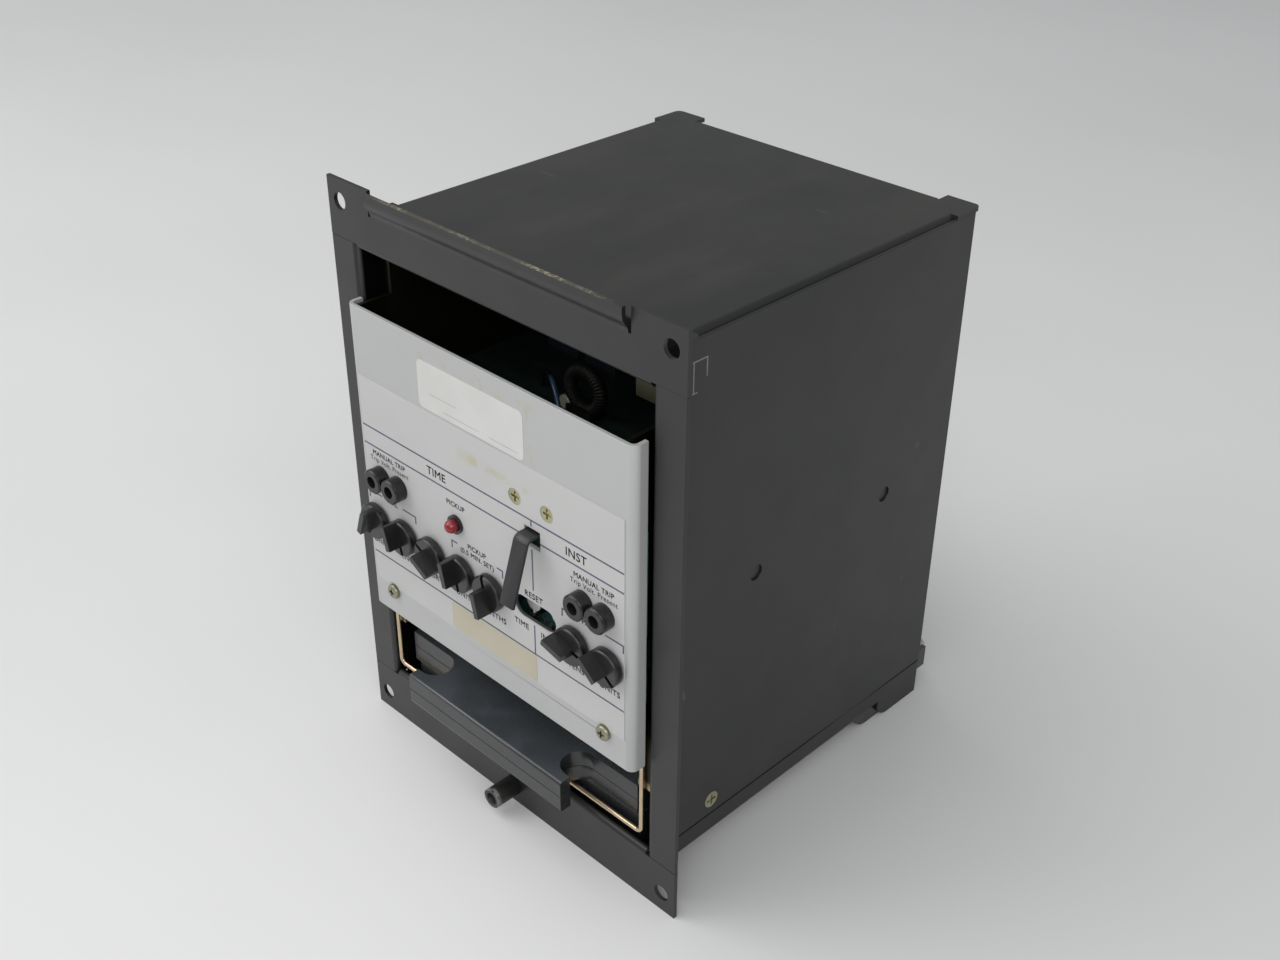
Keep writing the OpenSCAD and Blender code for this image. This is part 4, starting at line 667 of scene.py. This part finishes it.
def cream_plate():
    """Bare cream plate at the foot of the film."""
    plate = stuck_label(PLATE_X, PLATE_Z, FILM_FACE, PLATE_T, 0.8 * MM)
    cream = paper("plate_cream", (0.480, 0.446, 0.354), (0.438, 0.398, 0.307), 0.5)
    settle(plate, "cream_plate", "cradle", cream)


def side_mark():
    """Outline of a small square, marked with a pale pen on the right side behind the flange."""
    bars = [
        ((15.6, 16.1), (84.0, 94.6)),
        ((15.2, 21.9), (94.0, 94.5)),
        ((21.4, 21.9), (87.8, 94.0)),
        ((15.2, 17.6), (83.6, 84.0)),
    ]
    mark = start_strokes()
    for (y0, y1), (z0, z1) in bars:
        stroke((SIDE_FACE, y0 * MM, z0 * MM), (SIDE_FACE, y1 * MM, z1 * MM), TO_SIDE)
    end_strokes((PRINT_T, 0, 0))
    settle(mark, "side_mark", "case", INK_PALE)


def board_marks():
    """White marks and pads on the front board, seen through the target window."""
    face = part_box("front_board")[0].y
    letter = 1.3 * MM
    letter_line = 0.3 * MM
    track = 0.32 * MM
    rise = 2.0 * MM
    marks = start_strokes()
    for i in range(3):
        x = MARKS_X + letter * i
        rule_z(x, MARKS_Z, MARKS_Z + letter, letter_line, face)
        rule_x(x, x + 0.8 * MM, MARKS_Z + letter * (i % 2), letter_line, face)
    for i in range(2):
        x = MARKS_X + (2.0 + 3.4 * i) * MM
        z = MARKS_Z - (1.5 + 0.3 * i) * MM
        rule_x(x, x + 1.8 * MM, z, track, face)
        rule_z(x + 1.7 * MM, z, z + rise, track, face)
        rule_x(x + 1.6 * MM, x + 3.0 * MM, z + rise, track, face)
        rule_x(x + 4.2 * MM, x + 4.8 * MM, z + 0.5 * MM, 0.6 * MM, face)
    end_strokes((0, -0.03 * MM, 0))
    settle(marks, "board_marks", "cradle", INK_WHITE)


# Small pieces on the boards and the panel


def board_lead():
    """Blue lead that arches up from the main board beside the ring choke."""
    foot = Vector((CHOKE.x - 16 * MM, CHOKE.y - 2 * MM, BOARD_TOP - 3 * MM))
    clear_selection()
    bpy.ops.mesh.primitive_torus_add(
        major_segments=64,
        minor_segments=12,
        major_radius=13.6 * MM,
        minor_radius=0.9 * MM,
        location=foot,
        rotation=(math.pi / 2, 0, -0.5),
    )
    lead = bpy.context.object
    apply_place()
    bpy.ops.object.mode_set(mode="EDIT")
    bpy.ops.mesh.select_all(action="SELECT")
    bpy.ops.mesh.bisect(plane_co=(0, 0, BOARD_TOP), plane_no=(0, 0, 1), use_fill=True, clear_inner=True)
    bpy.ops.object.mode_set(mode="OBJECT")
    bpy.ops.object.shade_smooth()
    settle(lead, "board_lead", "cradle", lead_sleeve(foot.x))


def board_disc():
    """Pale disc capacitor on two legs, on the main board in front of the ring choke."""
    at = Vector((CHOKE.x - 8 * MM, CHOKE.y - 2 * MM, BOARD_TOP + 3.2 * MM))
    thick = 2.4 * MM
    leg_off = 1.3 * MM
    leg_h = 2.4 * MM
    clear_selection()
    bpy.ops.mesh.primitive_cylinder_add(
        vertices=40, radius=2.8 * MM, depth=thick, location=at, rotation=TO_FRONT
    )
    disc = bpy.context.object
    apply_place()
    rim = disc.modifiers.new("rim", "BEVEL")
    rim.width = 1.0 * MM
    rim.segments = 5
    rim.limit_method = "ANGLE"
    rim.angle_limit = math.radians(60)
    bpy.ops.object.modifier_apply(modifier="rim")
    bpy.ops.object.mode_set(mode="EDIT")
    for side in (-leg_off, leg_off):
        foot = (at.x + side, at.y, BOARD_TOP + 0.5 * MM)
        bpy.ops.mesh.primitive_cylinder_add(vertices=12, radius=0.3 * MM, depth=leg_h, location=foot)
    bpy.ops.object.mode_set(mode="OBJECT")
    bpy.ops.object.shade_smooth_by_angle(angle=math.radians(40))
    ceramic = moulding("disc_ceramic", (0.30, 0.30, 0.23), (0.36, 0.35, 0.27), 0.40)
    settle(disc, "board_disc", "cradle", ceramic)


def pan_head_screws():
    """Low round heads with cross recesses, for the two screws at the foot of the panel."""
    low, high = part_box("panel_pan_screws")
    inset = (high.z - low.z) / 2
    radius = 2.95 * MM
    height = 1.75 * MM
    slot = Vector((0.75, 1.8, 3.0)) * MM
    places = [Vector((x, PANEL_FACE, (low.z + high.z) / 2)) for x in (low.x + inset, high.x - inset)]
    centres = [place - Vector((0, height / 2, 0)) for place in places]
    head = {"vertices": 48, "radius": radius, "depth": height, "rotation": TO_FRONT}
    clear_selection()
    bpy.ops.mesh.primitive_cylinder_add(location=centres[0], **head)
    screws = bpy.context.object
    apply_place()
    bpy.ops.object.mode_set(mode="EDIT")
    bpy.ops.mesh.primitive_cylinder_add(location=centres[1], **head)
    bpy.ops.object.mode_set(mode="OBJECT")
    for part in [*screws.data.edges, *screws.data.polygons]:
        part.select = False
    for corner in screws.data.vertices:
        corner.select = corner.co.y < centres[0].y
    bpy.ops.object.mode_set(mode="EDIT")
    bpy.ops.mesh.select_mode(type="VERT")
    bpy.ops.mesh.bevel(offset=1.0 * MM, segments=6, affect="EDGES")
    bpy.ops.object.mode_set(mode="OBJECT")
    for place in places:
        for size in (slot, slot.zyx):
            clear_selection()
            bpy.ops.mesh.primitive_cube_add(size=1, location=place - Vector((0, height, 0)))
            cutter = bpy.context.object
            cutter.scale = size
            apply_place()
            recess = screws.modifiers.new("recess", "BOOLEAN")
            recess.operation = "DIFFERENCE"
            recess.object = cutter
            pick(screws)
            bpy.ops.object.modifier_apply(modifier="recess")
            bpy.data.objects.remove(cutter)
    bpy.ops.object.shade_smooth_by_angle(angle=math.radians(35))
    dull = plated("pan_screw_plate", (0.27, 0.265, 0.19), ((0.34, 0.33, 0.24), (0.21, 0.20, 0.14)), 0.38, 120)
    settle(screws, "pan_head_screws", "cradle", dull)
    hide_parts("panel_pan_screws")


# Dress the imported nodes


def soften(names, width, segments=2):
    """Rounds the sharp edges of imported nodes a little."""
    for name in names:
        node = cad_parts[name]
        weld = node.modifiers.new("merge", "WELD")
        weld.merge_threshold = 0.001 * MM
        bevel = node.modifiers.new("edges", "BEVEL")
        bevel.width = width
        bevel.segments = segments
        bevel.limit_method = "ANGLE"
        bevel.angle_limit = math.radians(40)
        bevel.harden_normals = True


def platings():
    """Plated finishes by the name of their material slot."""
    gold = plated("gold_zinc_plate", (0.38, 0.365, 0.22), ((0.48, 0.46, 0.30), (0.30, 0.27, 0.15)), 0.36, 120)
    wire = plated("bail_wire_plate", (0.58, 0.43, 0.31), ((0.62, 0.52, 0.34), (0.55, 0.37, 0.31)), 0.30, 140)
    zinc = plated("zinc_plate", (0.58, 0.59, 0.60), ((0.64, 0.65, 0.66), (0.50, 0.51, 0.53)), 0.33)
    nickel = plated("nickel_plate", (0.52, 0.50, 0.46), ((0.60, 0.58, 0.54), (0.40, 0.38, 0.34)), 0.32)
    brass = plated("brass_strip", (0.72, 0.53, 0.22), ((0.78, 0.60, 0.28), (0.60, 0.42, 0.17)), 0.27)
    return {
        "gold_zinc": gold,
        "bail_wire": wire,
        "plain_zinc": zinc,
        "terminal_nickel": nickel,
        "contact_brass": brass,
    }


def mouldings():
    """Plastic and oxidised finishes by the name of their material slot."""
    knob = moulding("knob_matt", (0.008, 0.008, 0.0085), (0.012, 0.012, 0.0125), 0.32, specular_ior_level=0.6)
    return {
        "stud_black": moulding("stud_oxide", (0.030, 0.030, 0.031), (0.050, 0.049, 0.047), 0.36),
        "switch_plastic": moulding("switch_blue", (0.012, 0.016, 0.026), (0.017, 0.021, 0.033), 0.45),
        "jack_black": moulding("jack_nylon", (0.007, 0.007, 0.0075), (0.010, 0.010, 0.0105), 0.26),
        "runner_nylon": moulding("runner_natural", (0.62, 0.60, 0.52), (0.56, 0.54, 0.45), 0.45),
        "capacitor_sleeve": moulding("sleeve_blue", (0.020, 0.034, 0.15), (0.028, 0.045, 0.19), 0.22),
        "knob_black": knob,
        "lever_black": moulding("lever_oxide", (0.017, 0.017, 0.018), (0.024, 0.024, 0.026), 0.36),
        "flag_grey": moulding("flag_enamel", (0.60, 0.60, 0.57), (0.54, 0.54, 0.50), 0.35),
    }


def own_finishes():
    """Finishes of single nodes that differ from the rest of their slot."""
    tints = ((0.60, 0.51, 0.31), (0.43, 0.36, 0.20))
    # Painted shade: the frame plates are darkened off the bail's ears, for the dark inside of the case.
    inside = plated("plate_painted_shade", (0.52, 0.44, 0.26), tints, 0.42, painted_shade_inside=True)
    plates = ("left_frame_plate", "right_frame_plate", "rear_frame_plate", "cradle_floor")
    own = {name: inside for name in plates}
    # Painted shade: a darker copy of the board finish, for the dark inside of the case.
    own["main_board"] = circuit_board("board_shaded", (0.009, 0.016, 0.013), (0.014, 0.024, 0.019))
    own["cover_stud"] = stud_paint()
    return own


def dress_nodes():
    """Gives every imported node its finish, by its slot or by its own name."""
    finishes = {
        **platings(),
        **mouldings(),
        "case_paint": case_paint(),
        "phenolic": phenolic(),
        "panel_aluminium": panel_aluminium(),
        "film_print": control_film(),
        "board_green": circuit_board("board_masked", (0.100, 0.270, 0.250), (0.140, 0.350, 0.330)),
        "lamp_red": red_lamp(),
        "choke_winding": winding(),
        "core_steel": laminations(),
        "coil_tape": coil_tape(),
    }
    own = own_finishes()
    for name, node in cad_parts.items():
        slots = node.data.materials
        for i, old in enumerate(slots):
            slots[i] = own.get(name, finishes[old.name]).material


# Table, light and camera


def table():
    """Pale table that the relay stands on, leaning back on its terminal block."""
    flange_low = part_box("bottom_pan")[0].z
    block_low, block_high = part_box("terminal_block")
    foot_y = block_high.y - 5 * MM
    front_y = 1.5 * MM
    lean = math.atan2(block_low.z - flange_low, foot_y - front_y)
    place = (0, front_y, flange_low)
    clear_selection()
    bpy.ops.mesh.primitive_grid_add(x_subdivisions=4, y_subdivisions=4, size=9, location=place)
    top = bpy.context.object
    top.rotation_euler = (lean, 0, 0)
    top.name = "table_top"
    top.data.materials.append(laminate().material)


def softbox(name, at, aim, size, power):
    """One soft rectangular lamp at a place, turned towards a point."""
    bpy.ops.object.light_add(type="AREA", location=at)
    lamp = bpy.context.object
    lamp.name = name
    lamp.data.shape = "RECTANGLE"
    lamp.data.size, lamp.data.size_y = size
    lamp.data.energy = power
    lamp.rotation_euler = (Vector(aim) - Vector(at)).to_track_quat("-Z", "Y").to_euler()


def lights():
    """Soft lamps above, at the left and at the right, a weak one for the mouth, and a pale room."""
    softbox("ceiling", (-0.6, -0.6, 1.5), (-0.05, -0.1, 0), (2.2, 1.6), 17)
    softbox("window", (-1.4, -1.1, 1.0), (0, 0.05, 0), (1.4, 1.2), 11)
    softbox("front_fill", (1.5, -1.0, 1.3), (0.1, 0, 0), (1.8, 1.4), 17)
    softbox("mouth_fill", (0.30, -0.42, 0.34), (-0.02, 0.06, 0.05), (0.3, 0.2), 0.35)
    world = bpy.data.worlds.new("room")
    bpy.context.scene.world = world
    world.use_nodes = True
    background = world.node_tree.nodes["Background"]
    background.inputs["Color"].default_value = (0.96, 0.975, 1.0, 1)
    background.inputs["Strength"].default_value = 0.36


def camera():
    """The camera stands to the right of the relay, above it, and looks down on its front and right side."""
    right = Vector((0.71039, 0.70378, 0.00695))
    up = Vector((-0.37276, 0.36785, 0.8519))
    back = right.cross(up)
    place = Matrix((right, up, back)).transposed().to_4x4()
    place.translation = (0.34037, -0.27947, 0.29919)
    bpy.ops.object.camera_add()
    eye = bpy.context.object
    eye.matrix_world = place
    eye.data.sensor_fit = "HORIZONTAL"
    eye.data.sensor_width = 36
    eye.data.lens = 43.236
    eye.data.clip_start = 0.01
    bpy.context.scene.camera = eye


camera()
dress_nodes()
panel_rules()
panel_legends()
sticker()
cream_plate()
board_marks()
board_lead()
board_disc()
pan_head_screws()
side_mark()
soften(["plug_body"], 0.5 * MM, 3)
soften([f"knob_{i}" for i in range(1, 8)], 0.3 * MM)
soften([f"test_jack_{i}" for i in range(1, 5)], 0.35 * MM, 3)
soften(["bottom_pan", "left_side_panel", "right_side_panel", "back_panel", "front_panel"], 0.15 * MM)
soften(["panel_flat_screws", "side_screws", "terminal_screws"], 0.15 * MM)
soften(["reset_lever", "cover_stud", "terminal_block"], 0.25 * MM)
table()
lights()
bpy.context.scene.view_settings.view_transform = "Standard"
